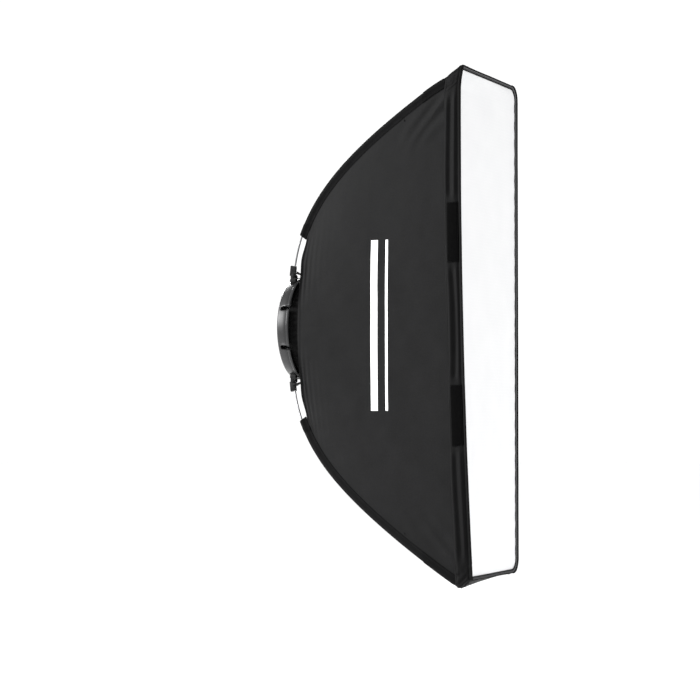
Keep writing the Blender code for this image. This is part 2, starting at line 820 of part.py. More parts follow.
def front_half_width(height, inset):
    """Half the front's width at a height, with its round corners, less an inset."""
    radius = CORNER_RADIUS_FRONT
    width, top = FRONT_WIDTH / 2 - inset, FRONT_HEIGHT / 2 - inset
    over = max(height - (top - radius), 0)
    return width - radius + sqrt(max(radius * radius - over * over, 0))


def make_diffuser(name, level):
    """Half of the white front cloth, set back inside the lip."""
    top = FRONT_HEIGHT / 2 - DIFFUSER_INSET

    def surface(u, v):
        z = mix(GAP, top, 1 - (1 - v) ** DIFFUSER_ROW_EASE)
        x = FRONT_X - DIFFUSER_DEPTH - bow(z)
        return Vector((x, mix(-1, 1, u) * front_half_width(z, DIFFUSER_INSET), level * z))

    return finish(sheet(name, 4, 12, surface, flipped=level < 0), "diffuser_fabric")


def make_binding(name, level):
    """Half of the tape that frames the front cloth: up one side, over the end, down the other."""
    radius = CORNER_RADIUS_FRONT
    width, top = FRONT_WIDTH / 2 - DIFFUSER_INSET, FRONT_HEIGHT / 2 - DIFFUSER_INSET
    lengths = (top - radius, radius * pi / 2, 2 * (width - radius), radius * pi / 2, top - radius)
    columns = (8, 4, 2, 4, 8)

    def turn_about(middle, turn, reach):
        return middle + reach * cos(turn), top - radius + reach * sin(turn)

    def place(run, inward):
        part = min(int(run), 4)
        step = lengths[part] * (run - part)
        if part == 0:
            return width - inward, step
        if part == 1:
            return turn_about(width - radius, step / radius, radius - inward)
        if part == 2:
            return width - radius - step, top - inward
        if part == 3:
            return turn_about(radius - width, pi / 2 + step / radius, radius - inward)
        return inward - width, top - radius - step

    stops = [0.0]
    for part, count in enumerate(columns):
        stops += [part + (index + 1) / count for index in range(count)]

    def surface(u, v):
        y, z = place(stops[round(u * (len(stops) - 1))], v * BINDING_WIDTH)
        z = max(z, GAP)
        return Vector((FRONT_X - DIFFUSER_DEPTH + BINDING_THICKNESS + GAP - bow(z), y, level * z))

    tape = sheet(name, len(stops) - 1, 1, surface, flipped=level > 0, thickness=BINDING_THICKNESS)
    return finish(tape, "binding_tape")


def make_baffle(name, level):
    """Half of the inner diffuser, hung flat across the middle of the box."""

    def surface(u, v):
        z = mix(GAP, BAFFLE_HALF_HEIGHT, v)
        narrowing = mix(1.0, BAFFLE_NARROWING, v**4)
        return Vector((BAFFLE_X, mix(-1, 1, u) * BAFFLE_HALF_WIDTH * narrowing, level * z))

    return finish(sheet(name, 2, 6, surface, flipped=level < 0), "diffuser_fabric")


def make_skirt(name, level):
    """Half of the black collar that closes the gap from the ring's rim to the panels' rear edges."""
    start = RING_DEPTH - SKIRT_OVERLAP
    middle = RING_DEPTH + SKIRT_REACH
    end = RING_DEPTH + SKIRT_END

    def surface(u, v):
        turn = pi * u
        circle = Vector((SKIRT_RADIUS * cos(turn), SKIRT_RADIUS * sin(turn)))
        square = max(abs(cos(turn)), sin(turn) ** SKIRT_SQUARE_POWER)
        oval = Vector((SKIRT_HALF_WIDTH * cos(turn) / square, SKIRT_HALF_HEIGHT * sin(turn) / square))
        oval.x *= mix(1.0, SKIRT_WAIST, (oval.y / SKIRT_HALF_HEIGHT) ** 2)
        if v <= 0.5:
            x, place = mix(start, middle, v * 2), circle
        else:
            x, place = mix(middle, end, v * 2 - 1), circle.lerp(oval, v * 2 - 1)
        return Vector((x, place.x, level * max(place.y, GAP)))

    return finish(sheet(name, 24, 4, surface, flipped=level > 0), "webbing")


def build():
    make_insert()
    make_speed_ring()
    make_retaining_ring()
    for level_name, level in LEVELS.items():
        fold_axis = empty(f"{level_name}_fold_axis", (HINGE_X, 0, level * HINGE_Z))
        for side_name, side in SIDES.items():
            place = f"{level_name}_{side_name}"
            rod_axis = empty(f"{place}_rod_axis", (HINGE_X, side * HINGE_Y, level * HINGE_Z))
            make_hinge_bracket(f"hinge_bracket_{place}", side, level)
            make_hinge_pin(f"hinge_pin_{place}", side, level)
            make_rod_holder(f"rod_holder_{place}", side, level, rod_axis)
            make_release_lever(f"release_lever_{place}", side, level)
            make_rod(f"rod_{place}", side, level, rod_axis)
            make_rod_cap(f"rod_cap_{place}", side, level, rod_axis)
            make_rod_sleeve(f"rod_sleeve_{place}", side, level, fold_axis)
            make_corner_pocket(f"corner_pocket_{place}", side, level, fold_axis)
            make_side_panel(f"side_panel_{place}", side, level)
            make_side_lip(f"side_lip_{place}", side, level)
            make_hook_strip(f"hook_strip_{place}", side, level)
        make_skirt(f"rear_skirt_{level_name}", level)
        make_end_panel(f"end_panel_{level_name}", level, fold_axis)
        make_end_lip(f"end_lip_{level_name}", level, fold_axis)
        make_diffuser(f"front_diffuser_{level_name}", level)
        make_binding(f"front_binding_{level_name}", level)
        make_baffle(f"inner_baffle_{level_name}", level)


build()
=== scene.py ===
"""Looks of the strip softbox: its cloth, webbing, ring, rods and front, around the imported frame.

Metres, in the frame of the CAD: +X is the way the light leaves, +Z runs along the strip, and the
origin is the centre of the insert's rear seat.
"""

from math import cos, exp, hypot, pi, radians, sin, sqrt

import bmesh
import bpy
from mathutils import Matrix, Vector, noise


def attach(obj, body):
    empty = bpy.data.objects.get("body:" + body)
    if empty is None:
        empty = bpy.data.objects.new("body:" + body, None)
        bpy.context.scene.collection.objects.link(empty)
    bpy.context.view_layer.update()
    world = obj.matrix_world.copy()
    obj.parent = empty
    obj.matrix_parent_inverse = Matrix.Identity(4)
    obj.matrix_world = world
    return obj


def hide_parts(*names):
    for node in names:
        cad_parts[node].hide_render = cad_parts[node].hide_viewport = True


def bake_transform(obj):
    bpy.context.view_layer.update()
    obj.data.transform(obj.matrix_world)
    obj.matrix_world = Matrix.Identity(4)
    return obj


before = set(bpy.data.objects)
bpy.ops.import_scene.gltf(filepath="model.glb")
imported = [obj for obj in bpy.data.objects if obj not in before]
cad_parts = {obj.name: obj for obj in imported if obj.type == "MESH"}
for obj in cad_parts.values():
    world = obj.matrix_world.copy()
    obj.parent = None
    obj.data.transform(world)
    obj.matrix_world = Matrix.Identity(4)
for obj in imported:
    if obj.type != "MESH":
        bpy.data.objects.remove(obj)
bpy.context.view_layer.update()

# Sizes that repeat the CAD's
FRONT_WIDTH = 0.305
FRONT_HEIGHT = 0.914
RING_DEPTH = 0.026
FRONT_X = 0.393
RING_REAR_RADIUS = 0.0930
RING_FRONT_RADIUS = 0.0972
RIM_RADIUS = 0.0988
RIM_LENGTH = 0.0055
RING_WALL = 0.0030
BACK_THICKNESS = 0.0055
INSERT_RADIUS = 0.0755
LEDGE_RADIUS = 0.0733
LEDGE_DEPTH = 0.0016
GAP = 0.0003
SLOT_WIDTH = 0.0088
SLOT_LENGTH = 0.0200
SLOT_COUNT = 8
HINGE_X = RING_DEPTH - 0.012
HINGE_Y = 0.0405
HINGE_Z = 0.0975
TIP_X = FRONT_X - 0.0195
TIP_Y = 0.1475
TIP_Z = 0.4535
ROD_RADIUS = 0.0016
ROD_BASE_LEAN = radians(11.5)
ROD_BASE_HANDLE = 0.1560
ROD_TIP_SLOPE = radians(31.4)
ROD_TIP_HANDLE = 0.2480
ROD_START = 0.0135
SLEEVE_ABOVE = 0.0042
SLEEVE_BELOW = 0.0102
SLEEVE_HALF = 0.0026
SLEEVE_START = 0.185
SIDE_REAR_X = 0.046
SIDE_REAR_Y = 0.1005
SIDE_SEAM_Y = 0.1500
LIP_DEPTH = 0.034
LIP_BOW = 0.008
LIP_HALF_WIDTH = 0.1545
LIP_HALF_HEIGHT = 0.4595
CORNER_REACH = 0.030
DIFFUSER_DEPTH = 0.0050
BAFFLE_X = FRONT_X - 0.135
BAFFLE_HALF_WIDTH = 0.104
BAFFLE_HALF_HEIGHT = 0.318
SKIRT_RADIUS = 0.0918
SKIRT_HALF_WIDTH = 0.0925
SKIRT_HALF_HEIGHT = 0.166
CLOTH = 0.0009
STRIP_LENGTH = 0.107
STRIP_WIDTH = 0.0215
STRIP_CENTRE_Z = 0.163
CAP_RADIUS = 0.0028
CAP_LENGTH = 0.0090
CAP_NOSE = 0.0030

# Sizes of the looks
FRONT_TAB_START = 0.885
END_SAG = 0.006
CORNER_RADII = {1: 0.027, -1: 0.009}
TIP_RADII = {1: 0.014, -1: 0.009}
LEAN = 0.0105
BINDING_WIDTH = 0.0060
BAFFLE_TAPER = 0.82
THIN_CLOTH = 0.0007
PRINT_BARS = ((0.199, 0.213), (0.229, 0.234))
PRINT_HALF_HEIGHT = 0.155
SEAM_ROWS = (0.10, 0.80)
CORNER_Z = 0.415
RAISED_CORNER = 0.0048
UPPER_ROD_DROP = 0.0050
LOWER_ROD_DROP = 0.0108
UPPER_FRONT_RISE = 0.0035
LOWER_FRONT_RISE = 0.0010

SIDES = {"left": 1, "right": -1}
LEVELS = {"upper": 1, "lower": -1}
CORNERS = {f"{a}_{b}": (SIDES[b], LEVELS[a]) for a in LEVELS for b in SIDES}
COVERS = {LEVELS[a]: f"{a}_cover" for a in LEVELS}

# The height where the front's fold would end: the side panels are cut on a line up to it, and fold_with()
# hands it to bend()
FOLD_TOP = 0.424
SKIRT_DIRECTION = Vector((0.2425, 0, 0.970))
SKIRT_FOLD_START = 0.0965
SKIRT_FOLD_END = 0.179

scene = bpy.context.scene


# ---- camera, light and floor


def make_camera():
    """The view of the photograph: nearly level, 21 degrees from square to the long side."""
    data = bpy.data.cameras.new("camera")
    data.lens = 126.3
    data.sensor_width = 36.0
    data.clip_end = 60
    camera = link("camera", data)
    camera.location = (1.7773, -4.2922, -0.1878)
    camera.rotation_euler = (radians(91.84), 0, radians(21.22))
    scene.camera = camera


def area_light(name, place, aim, size, power):
    data = bpy.data.lights.new(name, "AREA")
    data.shape = "SQUARE"
    data.size = size
    data.energy = power
    light = link(name, data)
    light.location = place
    light.rotation_euler = (Vector(aim) - Vector(place)).to_track_quat("-Z", "Y").to_euler()


FLOOR_Z = -0.78


def make_studio():
    """A wide white floor in an even white surround, with one soft key and a light from behind."""
    bm = bmesh.new()
    bmesh.ops.create_circle(bm, cap_ends=True, segments=64, radius=40)
    bmesh.ops.translate(bm, verts=bm.verts, vec=(0, 0, FLOOR_Z))
    floor = mesh_object("floor", bm)
    paint = bpy.data.materials.new("floor_paint")
    paint.use_nodes = True
    shader = paint.node_tree.nodes["Principled BSDF"]
    shader.inputs["Base Color"].default_value = (0.93, 0.93, 0.93, 1)
    shader.inputs["Roughness"].default_value = 0.95
    floor.data.materials.append(paint)
    world = bpy.data.worlds.new("studio")
    scene.world = world
    world.use_nodes = True
    background = world.node_tree.nodes["Background"]
    background.inputs["Color"].default_value = (1, 1, 1, 1)
    background.inputs["Strength"].default_value = 1.08
    area_light("key", (-3.2, -1.7, 1.3), (0.15, 0, 0), 1.1, 330)
    area_light("back", (-2.4, 3.1, 1.5), (0.1, 0, 0), 1.4, 260)
    scene.view_settings.view_transform = "Standard"


# ---- materials


class Paint:
    """A small builder of node materials."""

    def __init__(self, name):
        self.material = bpy.data.materials.new(name)
        self.material.use_nodes = True
        self.tree = self.material.node_tree
        self.shader = self.tree.nodes["Principled BSDF"]

    def node(self, kind, **values):
        made = self.tree.nodes.new(kind)
        for key, value in values.items():
            setattr(made, key, value)
        return made

    def link(self, source, target):
        self.tree.links.new(source, target)

    def feed(self, target, value):
        if isinstance(value, tuple):
            target.default_value = (*value, 1)
        elif isinstance(value, (int, float)):
            target.default_value = value
        else:
            self.link(value, target)

    def math(self, operation, *values):
        made = self.node("ShaderNodeMath", operation=operation)
        for socket, value in zip(made.inputs, values):
            self.feed(socket, value)
        return made.outputs[0]

    def times(self, a, b):
        return self.math("MULTIPLY", a, b)

    def scaled(self, value, factor, offset):
        return self.math("MULTIPLY_ADD", value, factor, offset)

    def uv(self):
        """The cloth's own coordinates, in metres."""
        where = self.node("ShaderNodeUVMap", uv_map="cloth")
        split = self.node("ShaderNodeSeparateXYZ")
        self.link(where.outputs["UV"], split.inputs[0])
        return where.outputs["UV"], split.outputs[0], split.outputs[1]

    def place(self):
        return self.node("ShaderNodeTexCoord").outputs["Object"]

    def noise(self, vector, scale, detail=2.0, roughness=0.5):
        made = self.node("ShaderNodeTexNoise")
        self.link(vector, made.inputs["Vector"])
        for key, value in (("Scale", scale), ("Detail", detail), ("Roughness", roughness)):
            made.inputs[key].default_value = value
        return made.outputs["Fac"]

    def wave(self, coordinate, pitch, phase=0.0):
        """A sine of 0 to 1 along one coordinate."""
        turns = self.scaled(coordinate, 2 * pi / pitch, phase)
        return self.scaled(self.math("SINE", turns), 0.5, 0.5)

    def ramp(self, value, stops):
        """Two colours at two places of a ramp."""
        made = self.node("ShaderNodeValToRGB")
        self.link(value, made.inputs["Fac"])
        for element, (place, colour) in zip(made.color_ramp.elements, stops):
            element.position = place
            element.color = (*colour, 1)
        return made.outputs["Color"]

    def mix(self, share, a, b):
        made = self.node("ShaderNodeMix", data_type="RGBA")
        for key, value in (("Factor", share), ("A", a), ("B", b)):
            self.feed(made.inputs[key], value)
        return made.outputs["Result"]

    def band(self, coordinate, low, high):
        """1 between two values of a coordinate and 0 outside."""
        above = self.math("GREATER_THAN", coordinate, low)
        return self.times(above, self.math("LESS_THAN", coordinate, high))

    def finish(self, colour, roughness, relief, specular=0.5, metallic=0.0):
        """Join colour, roughness (value, factor, offset) and relief (height, distance, strength)."""
        inputs = self.shader.inputs
        self.link(colour, inputs["Base Color"])
        self.link(self.scaled(*roughness), inputs["Roughness"])
        inputs["Specular IOR Level"].default_value = specular
        inputs["Metallic"].default_value = metallic
        height, distance, strength = relief
        bump = self.node("ShaderNodeBump")
        bump.inputs["Strength"].default_value = strength
        bump.inputs["Distance"].default_value = distance
        self.link(height, bump.inputs["Height"])
        self.link(bump.outputs["Normal"], inputs["Normal"])
        return self.material


def grey(level):
    return (level, level, level * 1.03)


def weave(paint, across, along, pitch):
    """Height of a plain weave: threads that pass over and under each other."""
    return paint.math("ABSOLUTE", paint.math("SUBTRACT", paint.wave(across, pitch), paint.wave(along, pitch)))


def panel_fabric(name, level, print_mark=False):
    """Coated nylon: a fine weave, faint slubs and soft mottling."""
    paint = Paint(name)
    uv, across, along = paint.uv()
    thread = weave(paint, across, along, 0.0016)
    mottle = paint.noise(uv, 26, 4, 0.6)
    slub = paint.noise(uv, 420, 2, 0.7)
    tone = paint.scaled(mottle, 0.34, paint.times(thread, 0.30))
    tone = paint.scaled(slub, 0.36, tone)
    colour = paint.ramp(tone, [(0.22, grey(level * 0.25)), (0.78, grey(level * 1.8))])
    if print_mark:
        tall = paint.math("ABSOLUTE", along)
        thick, thin = (
            paint.times(paint.band(across, *bar), paint.math("LESS_THAN", tall, PRINT_HALF_HEIGHT))
            for bar in PRINT_BARS
        )
        mark = paint.math("MAXIMUM", thick, thin)
        worn = paint.math("GREATER_THAN", paint.math("ADD", slub, thread), 0.28)
        colour = paint.mix(paint.times(mark, worn), colour, (0.80, 0.80, 0.80))
    relief = (paint.scaled(slub, 0.5, thread), 0.00025, 0.55)
    return paint.finish(colour, (mottle, 0.25, 0.52), relief, 0.05)


def silver_fabric(name):
    """The reflective inner face: crinkled silver coating with a fine square grid."""
    paint = Paint(name)
    uv, across, along = paint.uv()
    grid = paint.math("MAXIMUM", paint.wave(across, 0.004), paint.wave(along, 0.004))
    crinkle = paint.noise(uv, 90, 5, 0.65)
    colour = paint.ramp(crinkle, [(0.2, (0.50, 0.51, 0.52)), (0.8, (0.82, 0.83, 0.84))])
    relief = (paint.scaled(grid, 0.3, crinkle), 0.0006, 0.6)
    return paint.finish(colour, (crinkle, 0.3, 0.2), relief, metallic=0.85)


def webbing_fabric(name, level, pitch=0.0022, dark_tape_and_shadow_edge=None):
    """Close ribbed tape: ribs along its length, with picks across them, and a dark inner edge if asked, which
    stands partly for a dark edge tape and partly for painted shadow at the seam beside it.
    """
    paint = Paint(name)
    uv, across, along = paint.uv()
    rib = paint.wave(across, pitch)
    pick = paint.wave(along, pitch * 0.6, 1.0)
    lint = paint.noise(uv, 300, 3, 0.7)
    height = paint.scaled(pick, 0.45, paint.times(rib, 0.6))
    tone = paint.scaled(lint, 0.55, paint.times(height, 0.45))
    colour = paint.ramp(tone, [(0.15, grey(level * 0.5)), (0.85, grey(level * 1.6))])
    if dark_tape_and_shadow_edge:
        # The dark inner edge: partly a dark edge tape, partly painted shadow of the seam beside it.
        colour = paint.mix(paint.math("GREATER_THAN", across, dark_tape_and_shadow_edge), colour, grey(level * 0.10))
    return paint.finish(colour, (lint, 0.2, 0.7), (height, 0.0003, 0.6), 0.06)


def loop_tape(name):
    """The loop side of a hook and loop tape: matted fuzz with a plain selvage."""
    paint = Paint(name)
    uv = paint.uv()[0]
    fuzz = paint.noise(uv, 900, 5, 0.8)
    clump = paint.noise(uv, 160, 3, 0.6)
    tone = paint.scaled(fuzz, 0.6, paint.times(clump, 0.4))
    colour = paint.ramp(tone, [(0.25, grey(0.0006)), (0.8, grey(0.0035))])
    return paint.finish(colour, (fuzz, 0.1, 0.88), (tone, 0.0012, 0.9), 0.02)


def diffuser_cloth(name):
    """White ripstop nylon: a fine grid of thicker threads in a faint weave."""
    paint = Paint(name)
    uv, across, along = paint.uv()
    thread = weave(paint, across, along, 0.0011)
    ripstop = paint.math(
        "MAXIMUM",
        paint.math("GREATER_THAN", paint.wave(across, 0.006), 0.965),
        paint.math("GREATER_THAN", paint.wave(along, 0.006), 0.965),
    )
    mottle = paint.noise(uv, 14, 3, 0.5)
    tone = paint.scaled(ripstop, 0.2, paint.times(mottle, 0.8))
    colour = paint.ramp(tone, [(0.1, (0.725, 0.73, 0.737)), (0.9, (0.795, 0.795, 0.80))])
    relief = (paint.scaled(ripstop, 0.8, thread), 0.00012, 0.4)
    return paint.finish(colour, (thread, 0.15, 0.6), relief, 0.15)


def thread_paint(name, level):
    """Sewing thread: twisted, so its tone turns along its length."""
    paint = Paint(name)
    where = paint.place()
    lay = paint.noise(where, 1500, 2, 0.6)
    colour = paint.ramp(lay, [(0.2, grey(level * 0.5)), (0.8, grey(level * 1.4))])
    return paint.finish(colour, (lay, 0.2, 0.6), (lay, 0.0002, 0.6), 0.1)


def satin_metal(name, low, high, roughness, metallic, grain, wear=0.0, gloss=0.5):
    """Painted or plated metal: fine texture, uneven gloss and paler worn edges."""
    paint = Paint(name)
    where = paint.place()
    fine = paint.noise(where, grain, 3, 0.6)
    broad = paint.noise(where, 30, 3, 0.5)
    tone = paint.scaled(fine, 0.5, paint.times(broad, 0.5))
    colour = paint.ramp(tone, [(0.25, low), (0.75, high)])
    if wear:
        edges = paint.node("ShaderNodeNewGeometry").outputs["Pointiness"]
        worn = paint.ramp(edges, [(0.53, (0, 0, 0)), (0.60, (wear, wear, wear))])
        colour = paint.mix(worn, colour, tuple(min(1.0, c * 3 + 0.05) for c in high))
    return paint.finish(colour, (broad, 0.18, roughness - 0.09), (fine, 0.00012, 0.35), gloss, metallic)


def moulded_plastic(name, level, roughness=0.45):
    """Moulded plastic with a spark-eroded grain."""
    paint = Paint(name)
    where = paint.place()
    grain = paint.noise(where, 1800, 2, 0.6)
    broad = paint.noise(where, 60, 2, 0.5)
    colour = paint.ramp(broad, [(0.2, grey(level * 0.7)), (0.8, grey(level * 1.3))])
    return paint.finish(colour, (grain, 0.2, roughness - 0.1), (grain, 0.0001, 0.4), 0.22)


PANEL = panel_fabric("panel_fabric", 0.0068, print_mark=True)
END_CLOTH = panel_fabric("end_fabric", 0.0066)
LIP_CLOTH = panel_fabric("lip_fabric", 0.0046)
SILVER = silver_fabric("silver_lining")
WEBBING = webbing_fabric("webbing", 0.0045)
TAB_WEB = webbing_fabric("tab_webbing", 0.0030)
SKIRT_CLOTH = webbing_fabric("skirt_fabric", 0.0020, 0.0014)
# The binding's inner part is painted dark: partly the diffuser's dark edge tape, partly painted shadow at the
# seam.
BINDING = webbing_fabric("binding_tape", 0.088, 0.0018, dark_tape_and_shadow_edge=0.62 * BINDING_WIDTH)
LOOP = loop_tape("loop_tape")
DIFFUSER = diffuser_cloth("diffuser_fabric")
THREAD = thread_paint("thread_black", 0.0030)
THREAD_GREY = thread_paint("thread_grey", 0.02)
RING_PAINT = satin_metal(
    "ring_paint", (0.006, 0.006, 0.0063), (0.013, 0.013, 0.0136), 0.40, 0.30, 700, 0.35, 0.32
)
BLACK_METAL = satin_metal(
    "black_metal", (0.0018, 0.0018, 0.0020), (0.0040, 0.0040, 0.0043), 0.5, 0.0, 900, 0.15, 0.10
)
INSERT_METAL = satin_metal("insert_metal", (0.10, 0.10, 0.103), (0.19, 0.19, 0.193), 0.42, 1.0, 350, 0.2)
PIN_STEEL = satin_metal("pin_steel", (0.006, 0.006, 0.0063), (0.014, 0.014, 0.0145), 0.38, 0.6, 900, 0.0, 0.2)
ROD_STEEL = satin_metal("rod_steel", (0.09, 0.09, 0.092), (0.17, 0.17, 0.175), 0.33, 0.85, 1200)
LEVER_PLASTIC = moulded_plastic("lever_plastic", 0.0022)
CAP_RUBBER = moulded_plastic("cap_rubber", 0.004, 0.7)


# ---- shape tools


def mix(a, b, share):
    return a + (b - a) * share


def ease(share):
    share = min(max(share, 0.0), 1.0)
    return share * share * (3 - 2 * share)


ROD_RUN = hypot(TIP_Y - HINGE_Y, TIP_Z - HINGE_Z)
OUT_Y = (TIP_Y - HINGE_Y) / ROD_RUN
OUT_Z = (TIP_Z - HINGE_Z) / ROD_RUN
ROD_CONTROLS = (
    Vector((HINGE_X, 0)),
    Vector((HINGE_X + ROD_BASE_HANDLE * sin(ROD_BASE_LEAN), ROD_BASE_HANDLE * cos(ROD_BASE_LEAN))),
    Vector((TIP_X - ROD_TIP_HANDLE * cos(ROD_TIP_SLOPE), ROD_RUN - ROD_TIP_HANDLE * sin(ROD_TIP_SLOPE))),
    Vector((TIP_X, ROD_RUN)),
)


def rod_in_plane(share):
    rest = 1 - share
    weights = (rest**3, 3 * rest * rest * share, 3 * rest * share * share, share**3)
    return sum((w * p for w, p in zip(weights, ROD_CONTROLS)), Vector((0, 0)))


def rod_slope(share):
    step = 0.001
    return (rod_in_plane(share + step) - rod_in_plane(share - step)).normalized()


def from_plane(side, level, along, out, across=0.0):
    y = HINGE_Y + out * OUT_Y + across * OUT_Z
    z = HINGE_Z + out * OUT_Z - across * OUT_Y
    return Vector((along, side * y, level * z))


def beside_rod(side, level, share, above, across):
    """A point beside the rod: above it on its outer side, and across its plane, outwards."""
    centre = rod_in_plane(share)
    slope = rod_slope(share)
    place = centre + above * Vector((-slope.y, slope.x))
    return from_plane(side, level, place.x, place.y, across)


def share_at_x(along):
    low, high = 0.0, 1.0
    for _ in range(40):
        middle = (low + high) / 2
        low, high = (middle, high) if rod_in_plane(middle).x < along else (low, middle)
    return low


SEAM_X = FRONT_X - LIP_DEPTH


def slack(y):
    """1 on the side that hangs loose and 0 on the taut side."""
    return ease((FRONT_WIDTH / 2 - y) / FRONT_WIDTH)


def bow(height, y):
    """How far the front's edge is drawn back at a height; the taut side stays straight."""
    return 0.85 * LIP_BOW * slack(y) * max(1 - (height / (FRONT_HEIGHT / 2)) ** 2, 0)


def lean_shift(y, z):
    """How far the front leans at a place: on the loose side, back above and forward below."""
    raised_corner = RAISED_CORNER * ease((z - CORNER_Z) / 0.045)
    return slack(y) * (raised_corner - LEAN * z / (FRONT_HEIGHT / 2))


def hang(place, front=0.0):
    """A place of the cloth as it hangs: the loose side drops along the rods, less at the front."""
    loose = slack(place.y)
    if place.z > 0:
        rod_drop = UPPER_ROD_DROP * ease((place.x - 0.31) / 0.065) * loose
        front_drop = -UPPER_FRONT_RISE * (0.5 + 0.5 * loose)
    else:
        rod_drop = LOWER_ROD_DROP * sin(min(max((place.x - 0.03) / 0.31, 0), 1) * pi / 2) ** 2 * loose
        front_drop = -LOWER_FRONT_RISE * loose
    drop = mix(rod_drop, front_drop, front) * (place.z / (FRONT_HEIGHT / 2)) ** 2
    return place - Vector((0, 0, drop))


def seam_of(side, level):
    """A corner's seam: its place along X, and the point over the rod's sleeve there."""
    along = SEAM_X + lean_shift(side * FRONT_WIDTH / 2, level * CORNER_Z)
    return along, beside_rod(1, 1, share_at_x(along), SLEEVE_ABOVE + 0.0034, 0)


SEAMS = {(side, level): seam_of(side, level) for side in (1, -1) for level in (1, -1)}
SEAM_SHARES = {corner: share_at_x(SEAMS[corner][0]) for corner in SEAMS}


def lip_corner(side, level, v):
    """The lip's half width, half height and corner radius at a corner, v from seam to front."""
    seam_x, start = SEAMS[side, level]
    tip = (TIP_X + 0.003 - seam_x) / LIP_DEPTH
    rise, fall = min(v / tip, 1.0), max((v - tip) / (1 - tip), 0.0)
    width = mix(mix(start.y + 0.0035, LIP_HALF_WIDTH, rise), FRONT_WIDTH / 2, fall)
    height = mix(mix(start.z, LIP_HALF_HEIGHT, rise), FRONT_HEIGHT / 2, fall)
    return width, height, mix(mix(0.005, TIP_RADII[side], rise), CORNER_RADII[side], fall)


def lip_width(side, level, v, z):
    """The lip's half width at a height above or below the middle."""
    width, height = lip_corner(side, level, v)[:2]
    return mix(mix(SIDE_SEAM_Y + 0.0008, FRONT_WIDTH / 2, v), width, (z / height) ** 2)


def on_lip(y, z, v):
    """A point of the lip from where it lies across and up the box, v from the seam to the front."""
    x = SEAM_X + LIP_DEPTH * v + lean_shift(y, z) - bow(z, y)
    start = 0.0 if z > 0 else 0.1
    return hang(Vector((x, y, z)), ease((v - start) / (1 - start)))


def on_side_lip(side, level, v, z, out):
    return on_lip(side * (lip_width(side, level, v, z) + out), level * z, v)


def link(name, data):
    """A new object of a mesh, curve, camera or light, in the scene."""
    thing = bpy.data.objects.new(name, data)
    scene.collection.objects.link(thing)
    return thing


def mesh_object(name, bm):
    """An object of a finished bmesh."""
    mesh = bpy.data.meshes.new(name)
    bm.to_mesh(mesh)
    bm.free()
    return link(name, mesh)


def freeze(thing):
    """Apply an object's modifiers to its mesh."""
    bpy.context.view_layer.update()
    graph = bpy.context.evaluated_depsgraph_get()
    frozen = bpy.data.meshes.new_from_object(
        thing.evaluated_get(graph), preserve_all_data_layers=True, depsgraph=graph
    )
    thing.modifiers.clear()
    thing.data = frozen
    return thing


def smooth(thing, angle=40):
    thing.data.shade_smooth()
    thing.data.set_sharp_from_angle(angle=radians(angle))
    return thing


def grid(name, columns, rows, surface, uv, closed, outward, cut):
    """A grid on surface(u, v), with its UV map in metres from uv(u, v, place), cut at a plane."""
    bm = bmesh.new()
    layer = bm.loops.layers.uv.new("cloth")
    corners = []
    for j in range(rows + 1):
        v = j / rows
        count = columns if closed else columns + 1
        corners.append([bm.verts.new(surface(i / columns, v)) for i in range(count)])
    for j in range(rows):
        for i in range(columns):
            n = (i + 1) % columns if closed else i + 1
            face = bm.faces.new((corners[j][i], corners[j][n], corners[j + 1][n], corners[j + 1][i]))
            spots = ((i, j), (i + 1, j), (i + 1, j + 1), (i, j + 1))
            for loop, (a, b) in zip(face.loops, spots):
                loop[layer].uv = uv(a / columns, b / rows, loop.vert.co)
    if cut:
        whole = bm.verts[:] + bm.edges[:] + bm.faces[:]
        point, normal = cut
        bmesh.ops.bisect_plane(
            bm, geom=whole, dist=0.00002, plane_co=point, plane_no=normal, clear_outer=True
        )
    bm.normal_update()
    bm.faces.ensure_lookup_table()
    face = bm.faces[len(bm.faces) // 2]
    if face.normal.dot(outward(face.calc_center_median())) < 0:
        bmesh.ops.reverse_faces(bm, faces=bm.faces)
    return mesh_object(name, bm)


def cloth(
    name, columns, rows, surface, uv, paint, outward, thick=THIN_CLOTH, lining=None, closed=False, cut=None
):
    """A sheet of cloth with a lining on its inner face."""
    thing = grid(name, columns, rows, surface, uv, closed, outward, cut)
    thing.data.materials.append(paint)
    thing.data.materials.append(lining or paint)
    shell = thing.modifiers.new("shell", "SOLIDIFY")
    shell.thickness = thick
    shell.offset = -1
    shell.use_rim = True
    shell.material_offset = 1
    shell.material_offset_rim = 0
    return smooth(freeze(thing))


def flat_uv(u, v, place):
    return place.x, place.z


def cross_uv(u, v, place):
    return place.y, place.x


def front_uv(u, v, place):
    return place.y, place.z


def strip_uv(width, length):
    """The UV map of a strip with u across it and v along it."""
    return lambda u, v, place: (u * width, v * length)


def turned_uv(width, length):
    """The UV map of a strip with v across it and u along it."""
    return lambda u, v, place: (v * width, u * length)


def away(place):
    """Outwards from the box's middle line."""
    return Vector((0.0, place.y, place.z))


def sideways(place):
    return Vector((0.0, place.y, 0.0))


def upwards(place):
    return Vector((0.0, 0.0, place.z))


def forwards(place):
    return Vector((1.0, 0.0, 0.0))


def wobble(place, seed=0.0, scale=1.0):
    """Smooth noise of about -1 to 1, the same in every run."""
    return noise.noise(Vector(place) * scale + Vector((seed, seed * 1.7, seed * 0.6)))


def stand_in(thing, nodes):
    """Hide the CAD nodes that a piece replaces, if any."""
    if nodes:
        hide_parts(*nodes)


def bend(thing, level, start, end, *nodes, slot):
    """Bake a piece of cloth's place into its mesh and hide the CAD nodes that it replaces."""
    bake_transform(thing)
    stand_in(thing, nodes)


def fold_with(thing, level, *nodes, slot, top=FOLD_TOP):
    """Cloth of the front, reaching from the middle of the box towards one end, handled as bend() does."""
    bend(thing, level, (0, 0, 0), (0, 0, level * top), *nodes, slot=slot)


